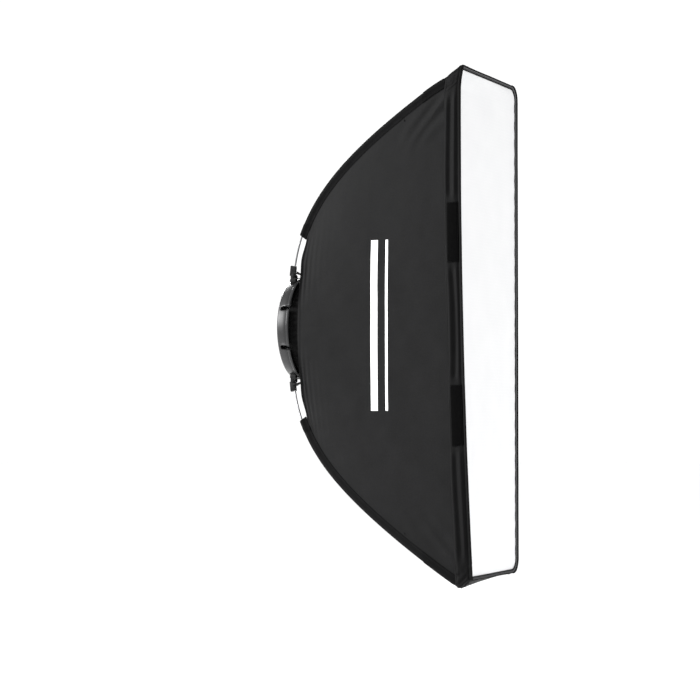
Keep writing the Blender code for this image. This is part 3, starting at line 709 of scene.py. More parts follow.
def ride(thing, body, *nodes, slot):
    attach(thing, body)
    stand_in(thing, nodes)


def area_of(thing):
    """Area of one face of a sheet, with its rim left out."""
    return sum(p.area for p in thing.data.polygons) / 2


def declare(thing, width, length, rests_on, held="stretched"):
    """Work out the area of one face of a piece."""
    area = area_of(thing)


# ---- the long sides

PANEL_STEPS = (84, 84)
PANEL_START = SLEEVE_START + 0.012
PANEL_LOW = SLEEVE_BELOW + 0.0014
PANEL_FIRST = beside_rod(1, 1, PANEL_START, -PANEL_LOW, 0)

# The line from the middle of a side's rear edge to its front corner, and across it to the rods
REAR_MIDDLE = Vector((SIDE_REAR_X, 0, 0))
FRONT_CORNER = Vector((SEAM_X, 0, FOLD_TOP))
FIRST_CORNER = Vector((PANEL_FIRST.x, 0, PANEL_FIRST.z))
DIAGONAL_ACROSS = (FRONT_CORNER - REAR_MIDDLE).cross(Vector((0, -1, 0))).normalized()
CHORD_ACROSS = (FRONT_CORNER - FIRST_CORNER).cross(Vector((0, -1, 0))).normalized()
CHORD_REACH = (FIRST_CORNER - REAR_MIDDLE).dot(CHORD_ACROSS)


def side_mid_y(along):
    return mix(SIDE_REAR_Y, SIDE_SEAM_Y, (along - SIDE_REAR_X) / (SEAM_X - SIDE_REAR_X))


def side_point(side, level, u, v):
    """The long side's smooth surface as if upper left: u from rear to front, v up to the sleeve."""
    share = mix(PANEL_START, SEAM_SHARES[side, level] + 0.002, u)
    edge = beside_rod(1, 1, share, -PANEL_LOW + 0.0016 * ease((v - 0.9) * 10), GAP)
    seam_x = SEAMS[side, level][0]
    run = (edge.x - PANEL_FIRST.x) / (seam_x - PANEL_FIRST.x)
    across = side * SIDE_SEAM_Y
    middle_x = mix(SIDE_REAR_X, SEAM_X - bow(0, across) + 0.001, run)
    rise = 1 - v * v
    z = mix(0.0, edge.z, v)
    lean = lean_shift(across, level * z) - lean_shift(across, level * edge.z) * v * v
    scallop = -0.0030 * exp(-u / 0.05) * exp(-(((z - 0.128) / 0.022) ** 2))
    x = mix(edge.x, middle_x, rise) + lean * run * run + scallop
    return Vector((x, edge.y + (side_mid_y(middle_x) - edge.y) * rise, z))


def side_relief(side, level, place, u, v):
    """How far the cloth stands out of its smooth surface: pulls, pleats, hem and drape."""
    spot = Vector((place.x, place.z * level, 0))
    tension = Vector((spot.x * 0.655 + spot.y * 0.5, spot.y * 0.9 - spot.x * 0.7, side * 3.1))
    broad = 0.0016 * wobble((tension.x * 2.2, tension.y, 0), 2.3 + side, 9.0)
    fine = 0.0005 * wobble((spot.x, spot.y, side), 7.7, 42.0)
    pleat_at = u * 2 * pi / 0.058 + 1.5 * wobble((0, place.z, 3), scale=7.0)
    pleat = 0.0026 * exp(-u / 0.085) * ease((v - 0.10) / 0.5) * cos(pleat_at)
    pull_run = max(0.0, 1 - hypot(u - 1.0, (v - 1.0) * 1.2) / 0.30)
    loose = 1.0 if level * side > 0 else 1.7
    pull_at = (v - 0.75 * u) * 62 + 2.5 * wobble((u * 6, v * 6, level))
    pull = 0.0016 * loose * pull_run**1.3 * sin(pull_at)
    hem = 0.0007 * (1 - ease((u - 0.028) / 0.006))
    return (broad + fine + pleat + pull) * ease((1 - v) * 16) * ease(v / 0.02 + 0.6) + hem


def make_side_panel(corner):
    """Half of a long side, in two sheets cut apart on a slanting line from the middle of its rear edge to its
    front corner.
    """
    side, level = CORNERS[corner]

    def surface(u, v):
        place = side_point(side, level, u, v)
        out = side_relief(side, level, place, u, v)
        return hang(Vector((place.x, side * (place.y + out), level * place.z)))

    across = Vector((DIAGONAL_ACROSS.x, 0, level * DIAGONAL_ACROSS.z))
    front, rear = (
        cloth(
            f"{part}_cloth_{corner}", *PANEL_STEPS, surface, flat_uv, PANEL, sideways, lining=SILVER, cut=cut
        )
        for part, cut in (("side", (REAR_MIDDLE, -across)), ("rear", (REAR_MIDDLE, across)))
    )
    fold_with(front, level, f"side_panel_{corner}", slot="panel_fabric")
    declare(front, 0.36, 0.45, [f"rod_sleeve_{corner}"])
    reach = CHORD_REACH * Vector((CHORD_ACROSS.x, 0, level * CHORD_ACROSS.z))
    bend(rear, level, REAR_MIDDLE, REAR_MIDDLE + reach, slot="panel_fabric")
    declare(rear, 0.12, 0.50, [f"rod_sleeve_{corner}"])


# ---- the lip round the front


def lip_profile(part):
    """How far the lip stands out at a part of its depth, from the seam to the front hem."""
    seam = -0.0024 * exp(-((part / 0.055) ** 2))
    belly = 0.0010 * sin(pi * min(part / 0.8, 1.0)) ** 1.2
    groove = -0.0009 * exp(-(((part - 0.80) / 0.035) ** 2))
    hem = 0.0009 * ease((part - 0.82) / 0.06) * (1 - ease((part - 0.965) / 0.05))
    return seam + belly + groove + hem


def make_side_lip(corner):
    """Half of a long side's lip, loosely folded along its length, and flat under the tape."""
    side, level = CORNERS[corner]

    def surface(u, v):
        z = mix(0.0, lip_corner(side, level, v)[1] - CORNER_REACH + 0.001, u)
        bends = v * 1.9 + 0.45 * wobble((0, z * 5, side * 2.0), 4.1)
        under_strip = ease((abs(z - STRIP_CENTRE_Z) - STRIP_LENGTH / 2 - 0.004) / 0.02)
        fold = 0.0019 * sin(2 * pi * bends) * ease(v / 0.15) * ease((0.78 - v) / 0.15)
        fold *= mix(0.2, 1.0, under_strip) * ease((1 - u) * 12)
        ripple = 0.0007 * wobble((v, z * 16, side * 3.0), 9.4) * ease(v / 0.1)
        place = on_side_lip(side, level, v, z, lip_profile(v) + fold + ripple)
        loose = 0.0008 * wobble((z * 9, side * 5.0, 0), 1.2)
        return place + Vector((loose * (1 - v), 0, 0))

    lip = cloth(f"lip_cloth_{corner}", 110, 30, surface, flat_uv, LIP_CLOTH, sideways, 0.0008)
    fold_with(lip, level, f"side_lip_{corner}", slot="panel_fabric")
    declare(lip, 0.036, 0.432, [f"side_cloth_{corner}"])


def make_end_lip(level_name):
    """The lip across a narrow end, between the corner pockets."""
    level = LEVELS[level_name]

    def surface(u, v):
        left, right = lip_corner(1, level, v), lip_corner(-1, level, v)
        y = mix(CORNER_REACH - 0.001 - right[0], left[0] - CORNER_REACH + 0.001, u)
        height = mix(left[1], right[1], slack(y))
        ripple = 0.0006 * wobble((v, y * 14, level * 4.0), 3.3) * ease(v / 0.1)
        sag = 0.0012 * (1 - mix(-1, 1, u) ** 2) * (1 - v)
        return on_lip(y, level * (height - sag + lip_profile(v) + ripple), v)

    lip = cloth(f"end_lip_cloth_{level_name}", 60, 30, surface, cross_uv, LIP_CLOTH, upwards, 0.0008)
    ride(lip, COVERS[level], f"end_lip_{level_name}", slot="panel_fabric")
    declare(lip, 0.036, 0.25, [f"end_cloth_{level_name}"])


def corner_point(side, level, u, v, out=0.0):
    """A point of a corner's pocket: up the long side, round the corner, and in over the end."""
    width, height, radius = lip_corner(side, level, v)
    part = u * 3
    if part <= 1:
        z = mix(height - CORNER_REACH, height - radius, part)
        y = lip_width(side, level, v, z) + out
    elif part <= 2:
        turn = (part - 1) * pi / 2
        y = width - radius + (radius + out) * cos(turn)
        z = height - radius + (radius + out) * sin(turn)
    else:
        y, z = mix(width - radius, width - CORNER_REACH, part - 2), height + out
    return on_lip(side * y, level * z, v)


def make_corner_pocket(corner):
    """The reinforced corner of the lip, pulled into creases by the rod's tip."""
    side, level = CORNERS[corner]

    def surface(u, v):
        pull = 0.0013 * sin((u - 0.5) * 3 * pi * 2.6 + v * 5) * exp(-(((u - 0.5) / 0.30) ** 2))
        pull *= ease(v / 0.2) * ease((0.8 - v) / 0.2)
        ripple = 0.0005 * wobble((u * 9, v * 7, side * 2.0 + level), 6.1)
        return corner_point(side, level, u, v, lip_profile(v) + pull + ripple + 0.0004)

    uv = turned_uv(LIP_DEPTH, 0.09)
    pocket = cloth(f"corner_cloth_{corner}", 54, 30, surface, uv, LIP_CLOTH, away, 0.0012)
    ride(pocket, COVERS[level], f"corner_pocket_{corner}", slot="webbing")
    declare(pocket, 0.036, 0.075, [f"rod_{corner}"])


# ---- the narrow ends


def make_end_panel(level_name):
    """A narrow end, sagging between the rods and puckered at its rear edge."""
    level = LEVELS[level_name]
    start, left_end, right_end = SLEEVE_START + 0.008, SEAM_SHARES[1, level], SEAM_SHARES[-1, level]

    def surface(u, v):
        across = 2 * u - 1
        end = mix(left_end, right_end, slack(across * FRONT_WIDTH / 2)) + 0.004
        edge = beside_rod(1, level, mix(start, end, v), SLEEVE_ABOVE - 0.0006, -0.0030)
        crown = 1 - abs(across) ** 2.4
        sag = END_SAG * crown * sin(pi * v) ** 0.8
        wave = 0.0012 * wobble((edge.x * 9, across * 2.2, level * 2.0), 5.5)
        wave += 0.0011 * exp(-v / 0.07) * cos(across * 17) * crown
        wave *= ease((1 - abs(across)) * 9) * ease((1 - v) * 14)
        return hang(Vector((edge.x + 0.5 * (sag + wave), edge.y * across, edge.z - level * (sag + wave))))

    length = 0.49

    def uv(u, v, place):
        return place.y, v * length

    panel = cloth(f"end_cloth_{level_name}", 60, 90, surface, uv, END_CLOTH, upwards, lining=SILVER)
    ride(panel, COVERS[level], f"end_panel_{level_name}", slot="panel_fabric")
    declare(panel, 0.30, length, [f"rod_sleeve_{level_name}_{s}" for s in SIDES])


# ---- sleeves of the rods


def sleeve_section(turn):
    """A flattened tube: round over the rod, pressed flat where it is sewn to the panels."""
    middle = (SLEEVE_ABOVE - SLEEVE_BELOW) / 2
    half = (SLEEVE_ABOVE + SLEEVE_BELOW) / 2
    above = middle + half * cos(turn)
    thick = 0.0011 + (SLEEVE_HALF - 0.0011) * exp(-((above / 0.0042) ** 2))
    across = thick * sin(turn) / max(abs(sin(turn)), 0.35) * min(1.0, abs(sin(turn)) / 0.35)
    return above, across


def make_sleeve(corner):
    """The tube of webbing that holds a rod along the seam of two panels."""
    side, level = CORNERS[corner]
    end = SEAM_SHARES[side, level] + 0.012

    def surface(u, v):
        share = mix(SLEEVE_START, end, v)
        above, across = sleeve_section(2 * pi * u)
        scallop = 1 + 0.06 * sin(v * 2 * pi * 16 + 2 * wobble((v * 20, side, level), 3.0))
        flat = 0.0004 * wobble((v * 34, above * 140, side * 3.0 + level), 2.0)
        return hang(beside_rod(side, level, share, above, across * scallop + flat))

    uv = strip_uv(0.034, 0.49)
    outward = away_from_rod(side, level)
    sleeve = cloth(f"sleeve_cloth_{corner}", 32, 120, surface, uv, WEBBING, outward, 0.0006, closed=True)
    ride(sleeve, COVERS[level], f"rod_sleeve_{corner}", slot="webbing")
    declare(sleeve, 0.032, 0.46, [f"rod_{corner}"])


def away_from_rod(side, level):
    """Outwards from the middle line of one sleeve."""
    middle = (SLEEVE_ABOVE - SLEEVE_BELOW) / 2
    line = [hang(beside_rod(side, level, s / 60, middle, 0)) for s in range(61)]

    def outward(place):
        nearest = min(line, key=lambda p: (p - place).length)
        return place - nearest

    return outward


# ---- stitches

SHORT_STITCH = {"pitch": 0.0028, "length": 0.0021}


def stitches(line, name="row", paint=THREAD, pitch=0.0034, length=0.0025, radius=0.00036):
    """A row of stitches along a line of points, each a short spindle of thread."""
    bm = bmesh.new()
    points = [Vector(p) for p in line]
    runs = [0.0]
    for a, b in zip(points, points[1:]):
        runs.append(runs[-1] + (b - a).length)
    count = max(int(runs[-1] / pitch), 1)
    step = 0
    for index in range(count):
        middle = (index + 0.5) * runs[-1] / count
        while step < len(runs) - 2 and runs[step + 1] < middle:
            step += 1
        a, b = points[step], points[step + 1]
        way = (b - a).normalized()
        centre = a + way * (middle - runs[step])
        side_way = way.orthogonal().normalized()
        up_way = way.cross(side_way)
        ends = [bm.verts.new(centre + way * length * e) for e in (-0.5, 0.5)]
        ring = []
        for turn in range(4):
            out = side_way * cos(turn * pi / 2) + up_way * sin(turn * pi / 2)
            ring.append([bm.verts.new(centre + way * length * e + out * radius) for e in (-0.25, 0.25)])
        for turn in range(4):
            near, far = ring[turn], ring[(turn + 1) % 4]
            bm.faces.new((near[0], far[0], far[1], near[1]))
            bm.faces.new((ends[0], far[0], near[0]))
            bm.faces.new((ends[1], near[1], far[1]))
    bmesh.ops.recalc_face_normals(bm, faces=bm.faces)
    row = mesh_object(name, bm)
    row.data.materials.append(paint)
    row.data.shade_smooth()
    return row


def join(name, things):
    """One object from several meshes of the same material."""
    bm = bmesh.new()
    for thing in things:
        bm.from_mesh(thing.data)
    joined = mesh_object(name, bm)
    joined.data.materials.append(things[0].data.materials[0])
    for thing in things:
        bpy.data.objects.remove(thing, do_unlink=True)
    return joined


# ---- tape, tabs and seams


def lip_outer(side, level, v, z, proud):
    """A point on the outer face of a side's lip."""
    return on_side_lip(side, level, v, z, lip_profile(v) + proud)


def make_hook_strip(corner):
    """Loop tape sewn on the lip, with a plain edge, round corners and a pile that stands up."""
    side, level = CORNERS[corner]
    half_width, half_length = STRIP_WIDTH / 2, STRIP_LENGTH / 2
    half_share = half_width / LIP_DEPTH

    def surface(u, v):
        a, b = 2 * u - 1, 2 * v - 1
        z = STRIP_CENTRE_Z + half_length * a
        edge = min((1 - abs(a)) * half_length, (1 - abs(b)) * half_width)
        pile = 0.0005 * ease((edge - 0.0016) / 0.0008)
        pile *= 1 + 0.35 * wobble((u * 190, v * 42, side), 8.0)
        return lip_outer(side, level, 0.5 + half_share * b, z, 0.0013 + pile)

    strip = cloth(f"loop_tape_{corner}", 130, 28, surface, flat_uv, LOOP, sideways, 0.0010)
    fold_with(strip, level, f"hook_strip_{corner}", slot="hook_tape")
    declare(strip, STRIP_WIDTH + 0.001, STRIP_LENGTH + 0.001, [f"lip_cloth_{corner}"])
    rows = []
    for b in (-1, 1):
        part = 0.5 + b * (half_share - 0.032)
        line = [
            lip_outer(side, level, part, STRIP_CENTRE_Z + (half_length - 0.0011) * (k / 20 - 1), 0.0019)
            for k in range(41)
        ]
        rows.append(stitches(line, **SHORT_STITCH))
    for a in (-1, 1):
        z = STRIP_CENTRE_Z + a * (half_length - 0.0011)
        line = [lip_outer(side, level, 0.5 + half_share * (k / 5 - 1) * 0.88, z, 0.0019) for k in range(11)]
        rows.append(stitches(line, **SHORT_STITCH))
    fold_with(join(f"tape_seam_{corner}", rows), level, slot="webbing")


def make_lip_seams(corner):
    """The rows of stitches that hold the lip to the side and close its front hem."""
    side, level = CORNERS[corner]
    rows = []
    for part in SEAM_ROWS:
        top = lip_corner(side, level, part)[1] - CORNER_REACH
        line = [lip_outer(side, level, part, top * k / 80, 0.0004) for k in range(81)]
        rows.append(stitches(line))
    fold_with(join(f"lip_seam_{corner}", rows), level, slot="webbing")


def make_sleeve_tab(name, corner, start, end, slant, raised, flat):
    """A folded tab of heavier webbing sewn round the sleeve."""
    side, level = CORNERS[corner]

    def along_rod(above, v):
        return mix(start, end, v) + slant * (above / SLEEVE_ABOVE) * (0.5 - v)

    def section(turn):
        above, across = sleeve_section(turn)
        return above * 0.98 + raised * (1 if above > -0.002 else 0.4), across

    def surface(u, v):
        above, across = section(2 * pi * u)
        across = (across + (0.0010 if across > 0 else -0.0010)) * (1.0 + 0.05 * sin(v * 9))
        return hang(beside_rod(side, level, along_rod(above, v), above, across))

    outward = away_from_rod(side, level)
    tab = cloth(f"{name}_{corner}", 36, 26, surface, strip_uv(0.034, flat[1]), TAB_WEB, outward, closed=True)
    ride(tab, COVERS[level], slot="webbing")
    declare(tab, *flat, [f"sleeve_cloth_{corner}"], "folded")
    rows = []
    for v in (0.14, 0.86):
        line = []
        for k in range(9):
            above, across = section(pi * (0.15 + 0.7 * k / 8))
            line.append(hang(beside_rod(side, level, along_rod(above, v), above, across + 0.0013)))
        rows.append(stitches(line, pitch=0.0024, length=0.0018, radius=0.0003))
    ride(join(f"{name}_seam_{corner}", rows), COVERS[level], slot="webbing")


def make_sleeve_seam(corner):
    """One row along the sleeve's inner edge, on the long side, and one on the end's side."""
    side, level = CORNERS[corner]
    rows = []
    for above, across in ((-0.0086, 0.0013), (0.0012, -0.0029)):
        shares = [mix(SLEEVE_START + 0.055, SEAM_SHARES[side, level], k / 120) for k in range(121)]
        line = [hang(beside_rod(side, level, share, above, across)) for share in shares]
        rows.append(stitches(line, radius=0.00028))
    ride(join(f"sleeve_seam_{corner}", rows), COVERS[level], slot="webbing")


def make_corner_seams(corner):
    """The box of stitches that closes a corner's pocket round the rod's tip."""
    side, level = CORNERS[corner]
    proud = 0.0009

    def at(u, v):
        return corner_point(side, level, u, v, lip_profile(v) + proud)

    corners = [(0.10, 0.10), (0.10, 0.78), (0.325, 0.78), (0.10, 0.10)]
    rows = []
    for (u0, v0), (u1, v1) in zip(corners, corners[1:]):
        line = [at(mix(u0, u1, k / 12), mix(v0, v1, k / 12)) for k in range(13)]
        rows.append(stitches(line, **SHORT_STITCH))
    for part in SEAM_ROWS:
        rows.append(stitches([at(0.02 + 0.96 * k / 40, part) for k in range(41)]))
    ride(join(f"corner_seam_{corner}", rows), COVERS[level], slot="webbing")


# ---- the front

FRONT_INSET = CLOTH + 0.0003


def front_half_width(side, height, inset):
    """Half the front's width at a height, less towards its rounded corners."""
    radius = CORNER_RADII[side]
    width, top = FRONT_WIDTH / 2 - inset, FRONT_HEIGHT / 2 - inset
    over = max(height - (top - radius), 0)
    return width - radius + sqrt(max(radius * radius - over * over, 0))


def make_diffuser(level_name):
    """Half of the white front cloth: taut, with faint draws from the corners and the hem."""
    level = LEVELS[level_name]
    top = FRONT_HEIGHT / 2 - FRONT_INSET

    def surface(u, v):
        z = mix(0.0, top, 1 - (1 - v) ** 1.5)
        across = 2 * u - 1
        reach = front_half_width(1 if across > 0 else -1, z, FRONT_INSET)
        y = across * reach
        edge = min(reach - abs(y), top - z)
        calm = ease(edge / 0.03)
        draw = 0.0007 * wobble((y * 10, level * z * 6, 1), 4.4)
        scallop = 0.0005 * exp(-edge / 0.018) * sin(z * 2 * pi / 0.034 + across * 3)
        belly = 0.0016 * (1 - across * across) * min(1.0, (top - z) / 0.08)
        relief = (draw + belly) * calm + scallop * ease(edge / 0.006)
        return on_front(y, level * z, relief)

    sheet = cloth(f"front_cloth_{level_name}", 60, 120, surface, front_uv, DIFFUSER, forwards)
    fold_with(sheet, level, f"front_diffuser_{level_name}", slot="diffuser_fabric")
    declare(sheet, 0.304, 0.458, [f"front_binding_cloth_{level_name}"])


def on_front(y, z, forward):
    """A point of the front's plane, as it leans and hangs."""
    x = FRONT_X - DIFFUSER_DEPTH + forward + lean_shift(y, z) - bow(z, y)
    return hang(Vector((x, y, z)), 1.0)


def frame_place(run, inward):
    """A point of the front's frame: up the left side, over the end and down the right side."""
    left_radius, right_radius = CORNER_RADII[1], CORNER_RADII[-1]
    width, top = FRONT_WIDTH / 2 - FRONT_INSET + 0.0009, FRONT_HEIGHT / 2 - FRONT_INSET + 0.0009
    lengths = (
        top - left_radius,
        left_radius * pi / 2,
        2 * width - left_radius - right_radius,
        right_radius * pi / 2,
        top - right_radius,
    )
    left = run * sum(lengths)
    for part, length in enumerate(lengths):
        if left <= length or part == 4:
            break
        left -= length
    if part == 0:
        return width - inward, left
    if part == 2:
        return width - left_radius - left, top - inward
    if part == 4:
        return inward - width, top - right_radius - left
    radius = left_radius if part == 1 else right_radius
    turn = left / radius + (0 if part == 1 else pi / 2)
    middle = width - radius if part == 1 else radius - width
    return middle + (radius - inward) * cos(turn), top - radius + (radius - inward) * sin(turn)


def binding_height(v):
    """The binding's section: a round piped edge, a sunk line of stitches and a flat inner part."""
    pipe = 0.0022 * sqrt(max(1 - ((v - 0.17) / 0.19) ** 2, 0)) if v < 0.36 else 0
    flat = 0.0008 * ease((v - 0.40) / 0.08) * (1 - ease((v - 0.95) / 0.05))
    return 0.0005 + max(pipe, flat)


def make_binding(level_name):
    """Half of the grey tape that frames the front cloth."""
    level = LEVELS[level_name]

    def surface(u, v):
        y, z = frame_place(u, v * BINDING_WIDTH)
        ripple = 0.00025 * sin(u * 2 * pi * 110) * ease((v - 0.4) / 0.3)
        return on_front(y, level * max(z, 0.0), binding_height(v) + ripple)

    uv = turned_uv(BINDING_WIDTH, 1.2)
    tape = cloth(f"front_binding_cloth_{level_name}", 420, 22, surface, uv, BINDING, forwards, 0.0006)
    fold_with(tape, level, f"front_binding_{level_name}", slot="binding_tape")
    declare(tape, 0.0115, 1.20, [f"front_cloth_{level_name}"])
    line = []
    for k in range(401):
        y, z = frame_place(k / 400, 0.40 * BINDING_WIDTH)
        line.append(on_front(y, level * max(z, 0.0), 0.0008))
    seam = stitches(line, f"front_seam_{level_name}", THREAD_GREY)
    fold_with(seam, level, slot="webbing")


# ---- inside


def make_baffle(level_name):
    """Half of the inner diffuser, hung across the box and drawn in towards its corners."""
    level = LEVELS[level_name]

    def surface(u, v):
        z = BAFFLE_HALF_HEIGHT * v
        across = 2 * u - 1
        y = across * BAFFLE_HALF_WIDTH * mix(1.0, BAFFLE_TAPER, v**2.5)
        droop = 0.0012 * wobble((y * 9, z * 6, level * 2.0), 2.9)
        return hang(Vector((BAFFLE_X + droop, y, level * z)))

    sheet = cloth(f"inner_cloth_{level_name}", 40, 60, surface, front_uv, DIFFUSER, forwards)
    top = BAFFLE_HALF_HEIGHT - 0.004
    fold_with(sheet, level, f"inner_baffle_{level_name}", slot="diffuser_fabric", top=top)
    declare(sheet, 0.210, 0.319, [f"baffle_tape_{level_name}_{s}" for s in SIDES], "hung")
    for side_name in SIDES:
        make_baffle_tape(f"{level_name}_{side_name}")


def make_baffle_tape(corner):
    """An elastic tape from the inner diffuser's corner to the rod."""
    side, level = CORNERS[corner]
    hem_y, hem_z = BAFFLE_HALF_WIDTH * (BAFFLE_TAPER - 0.008), BAFFLE_HALF_HEIGHT - 0.003
    start = hang(Vector((BAFFLE_X + 0.0012, side * hem_y, level * hem_z)))
    end = hang(beside_rod(side, level, share_at_x(BAFFLE_X), -0.0125, -0.001))
    way = (end - start).normalized()
    flat = way.cross(Vector((1, 0, 0))).normalized()

    def surface(u, v):
        return start.lerp(end, v) + flat * 0.005 * (2 * u - 1) + Vector((0.0005 * sin(v * 7), 0, 0))

    tape = cloth(f"baffle_tape_{corner}", 4, 12, surface, strip_uv(0.010, 0.06), WEBBING, forwards)
    ride(tape, COVERS[level], slot="webbing")
    declare(tape, 0.0101, (end - start).length * 1.02, [f"rod_sleeve_{corner}"])


def make_skirt(level_name):
    """Half of the black collar round the ring, gathered where it turns to meet the panels."""
    level = LEVELS[level_name]
    stops = (RING_DEPTH - 0.003, RING_DEPTH + 0.015, RING_DEPTH + 0.032)

    def surface(u, v):
        turn = pi * u
        circle = Vector((SKIRT_RADIUS * cos(turn), SKIRT_RADIUS * sin(turn)))
        square = max(abs(cos(turn)), sin(turn) ** 1.4)
        oval = Vector((SKIRT_HALF_WIDTH * cos(turn) / square, SKIRT_HALF_HEIGHT * sin(turn) / square))
        oval.x *= mix(1.0, 0.66, (oval.y / SKIRT_HALF_HEIGHT) ** 2)
        if v <= 0.5:
            x, place = mix(stops[0], stops[1], v * 2), circle
        else:
            x, place = mix(stops[1], stops[2], v * 2 - 1), circle.lerp(oval, v * 2 - 1)
        gather = 0.0010 * sin(v * pi) * sin(turn * 46 + 3 * wobble((turn * 3, v * 2, 0), 6.6))
        place = place * (1 + gather / place.length)
        return Vector((x, place.x, level * max(place.y, 0.0)))

    uv = strip_uv(0.45, 0.08)
    skirt = cloth(f"skirt_cloth_{level_name}", 220, 20, surface, uv, SKIRT_CLOTH, away, 0.0008)
    way = Vector((SKIRT_DIRECTION.x, 0, SKIRT_DIRECTION.z * level))
    start, end = way * SKIRT_FOLD_START, way * SKIRT_FOLD_END
    bend(skirt, level, start, end, f"rear_skirt_{level_name}", slot="webbing")
    declare(skirt, 0.10, 0.45, ["speed_ring"], "gathered")


# ---- ring, rods and hinges


def lathe(name, outline, steps):
    """A closed outline of (along X, radius) points turned about the X axis."""
    bm = bmesh.new()
    rings = []
    for step in range(steps):
        turn = 2 * pi * step / steps
        rings.append([bm.verts.new((x, radius * cos(turn), radius * sin(turn))) for x, radius in outline])
    for near, far in zip(rings, rings[1:] + rings[:1]):
        for k in range(len(outline)):
            n = (k + 1) % len(outline)
            bm.faces.new((near[k], near[n], far[n], far[k]))
    bmesh.ops.recalc_face_normals(bm, faces=bm.faces)
    return mesh_object(name, bm)


def slot_cutter(frame_at, middle):
    """A slot's cutter, open at the front and round at the rear."""
    half = SLOT_WIDTH / 2
    rear = RING_DEPTH - SLOT_LENGTH
    outline = [(RING_DEPTH + 0.01, -half), (RING_DEPTH + 0.01, half)]
    for k in range(13):
        turn = pi / 2 + pi * k / 12
        outline.append((rear + half + half * cos(turn), half * sin(turn)))
    bm = bmesh.new()
    faces = []
    for z in (middle - 0.020, middle + 0.010):
        faces.append([bm.verts.new(frame_at @ Vector((x, y, z))) for x, y in outline])
    bm.faces.new(faces[0])
    bm.faces.new(faces[1])
    for k in range(len(outline)):
        n = (k + 1) % len(outline)
        bm.faces.new((faces[0][k], faces[0][n], faces[1][n], faces[1][k]))
    bmesh.ops.recalc_face_normals(bm, faces=bm.faces)
    return mesh_object("slot", bm)


def bevel(thing, width, angle):
    modifier = thing.modifiers.new("bevel", "BEVEL")
    modifier.width = width
    modifier.segments = 2
    modifier.limit_method = "ANGLE"
    modifier.angle_limit = radians(angle)
    modifier.harden_normals = True


def make_ring():
    """The satin bell of the speed ring: raised rim, turned grooves and eight round-ended slots."""
    inner = RING_REAR_RADIUS - RING_WALL
    front = RING_DEPTH
    outline = [
        (front, RIM_RADIUS - 0.0008),
        (front - 0.0003, RIM_RADIUS - 0.0002),
        (front - 0.0008, RIM_RADIUS),
        (front - RIM_LENGTH + 0.0010, RIM_RADIUS),
        (front - RIM_LENGTH + 0.0004, RIM_RADIUS - 0.0003),
        (front - RIM_LENGTH, RIM_RADIUS - 0.0012),
        (front - RIM_LENGTH - 0.0005, RING_FRONT_RADIUS - 0.0002),
        (front - RIM_LENGTH - 0.0012, RING_FRONT_RADIUS - 0.0001),
        (0.0125, mix(RING_REAR_RADIUS, RING_FRONT_RADIUS, 0.62)),
        (0.0040, RING_REAR_RADIUS + 0.0006),
        (0.0022, RING_REAR_RADIUS),
        (0.0009, RING_REAR_RADIUS - 0.0012),
        (0.0002, RING_REAR_RADIUS - 0.0026),
        (0.0, RING_REAR_RADIUS - 0.0040),
        (0.0, LEDGE_RADIUS + 0.0008),
        (0.0004, LEDGE_RADIUS),
        (LEDGE_DEPTH - GAP, LEDGE_RADIUS),
        (LEDGE_DEPTH - GAP, INSERT_RADIUS + GAP),
        (BACK_THICKNESS, INSERT_RADIUS + GAP),
        (BACK_THICKNESS, inner - 0.0030),
        (BACK_THICKNESS + 0.0009, inner - 0.0010),
        (BACK_THICKNESS + 0.0028, inner + 0.0002),
        (front, RING_FRONT_RADIUS - RING_WALL),
    ]
    ring = lathe("ring_bell", outline, 160)
    cutters = []
    for index in range(SLOT_COUNT):
        angle = 2 * pi * (index + 0.5) / SLOT_COUNT
        frame_at = Matrix.Rotation(-angle, 4, "X")
        middle = RING_FRONT_RADIUS
        if abs(cos(angle)) > abs(sin(angle)):
            side, level = (1 if sin(angle) > 0 else -1), (1 if cos(angle) > 0 else -1)
            turn = Matrix.Rotation(0 if level > 0 else pi, 4, "X")
            frame_at = Matrix.Translation((0, side * HINGE_Y, 0)) @ turn
            middle = HINGE_Z
        cutters.append(slot_cutter(frame_at, middle))
    for cutter in cutters:
        cut = ring.modifiers.new("cut", "BOOLEAN")
        cut.operation = "DIFFERENCE"
        cut.solver = "EXACT"
        cut.object = cutter
    freeze(ring)
    for cutter in cutters:
        bpy.data.objects.remove(cutter, do_unlink=True)
    bevel(ring, 0.00035, 50)
    smooth(freeze(ring), 32)
    ring.data.materials.append(RING_PAINT)
    ride(ring, "speed_ring", "speed_ring", slot="ring_metal")


def make_rod(corner):
    """The bent spring rod, smooth along its whole length."""
    side, level = CORNERS[corner]
    curve = bpy.data.curves.new("rod", "CURVE")
    curve.dimensions = "3D"
    line = curve.splines.new("POLY")
    count = 90
    line.points.add(count - 1)
    for index, point in enumerate(line.points):
        share = mix(ROD_START, 1.0, index / (count - 1))
        point.co = (*hang(beside_rod(side, level, share, 0, 0)), 1)
    curve.bevel_depth = ROD_RADIUS
    curve.bevel_resolution = 4
    curve.use_fill_caps = True
    rod = freeze_curve(f"rod_steel_{corner}", curve)
    rod.data.materials.append(ROD_STEEL)
    ride(smooth(rod), f"rod_{corner}", f"rod_{corner}", slot="rod_steel")


def freeze_curve(name, curve):
    maker = link("maker", curve)
    bpy.context.view_layer.update()
    graph = bpy.context.evaluated_depsgraph_get()
    mesh = bpy.data.meshes.new_from_object(maker.evaluated_get(graph))
    bpy.data.objects.remove(maker, do_unlink=True)
    mesh.name = name
    return link(name, mesh)


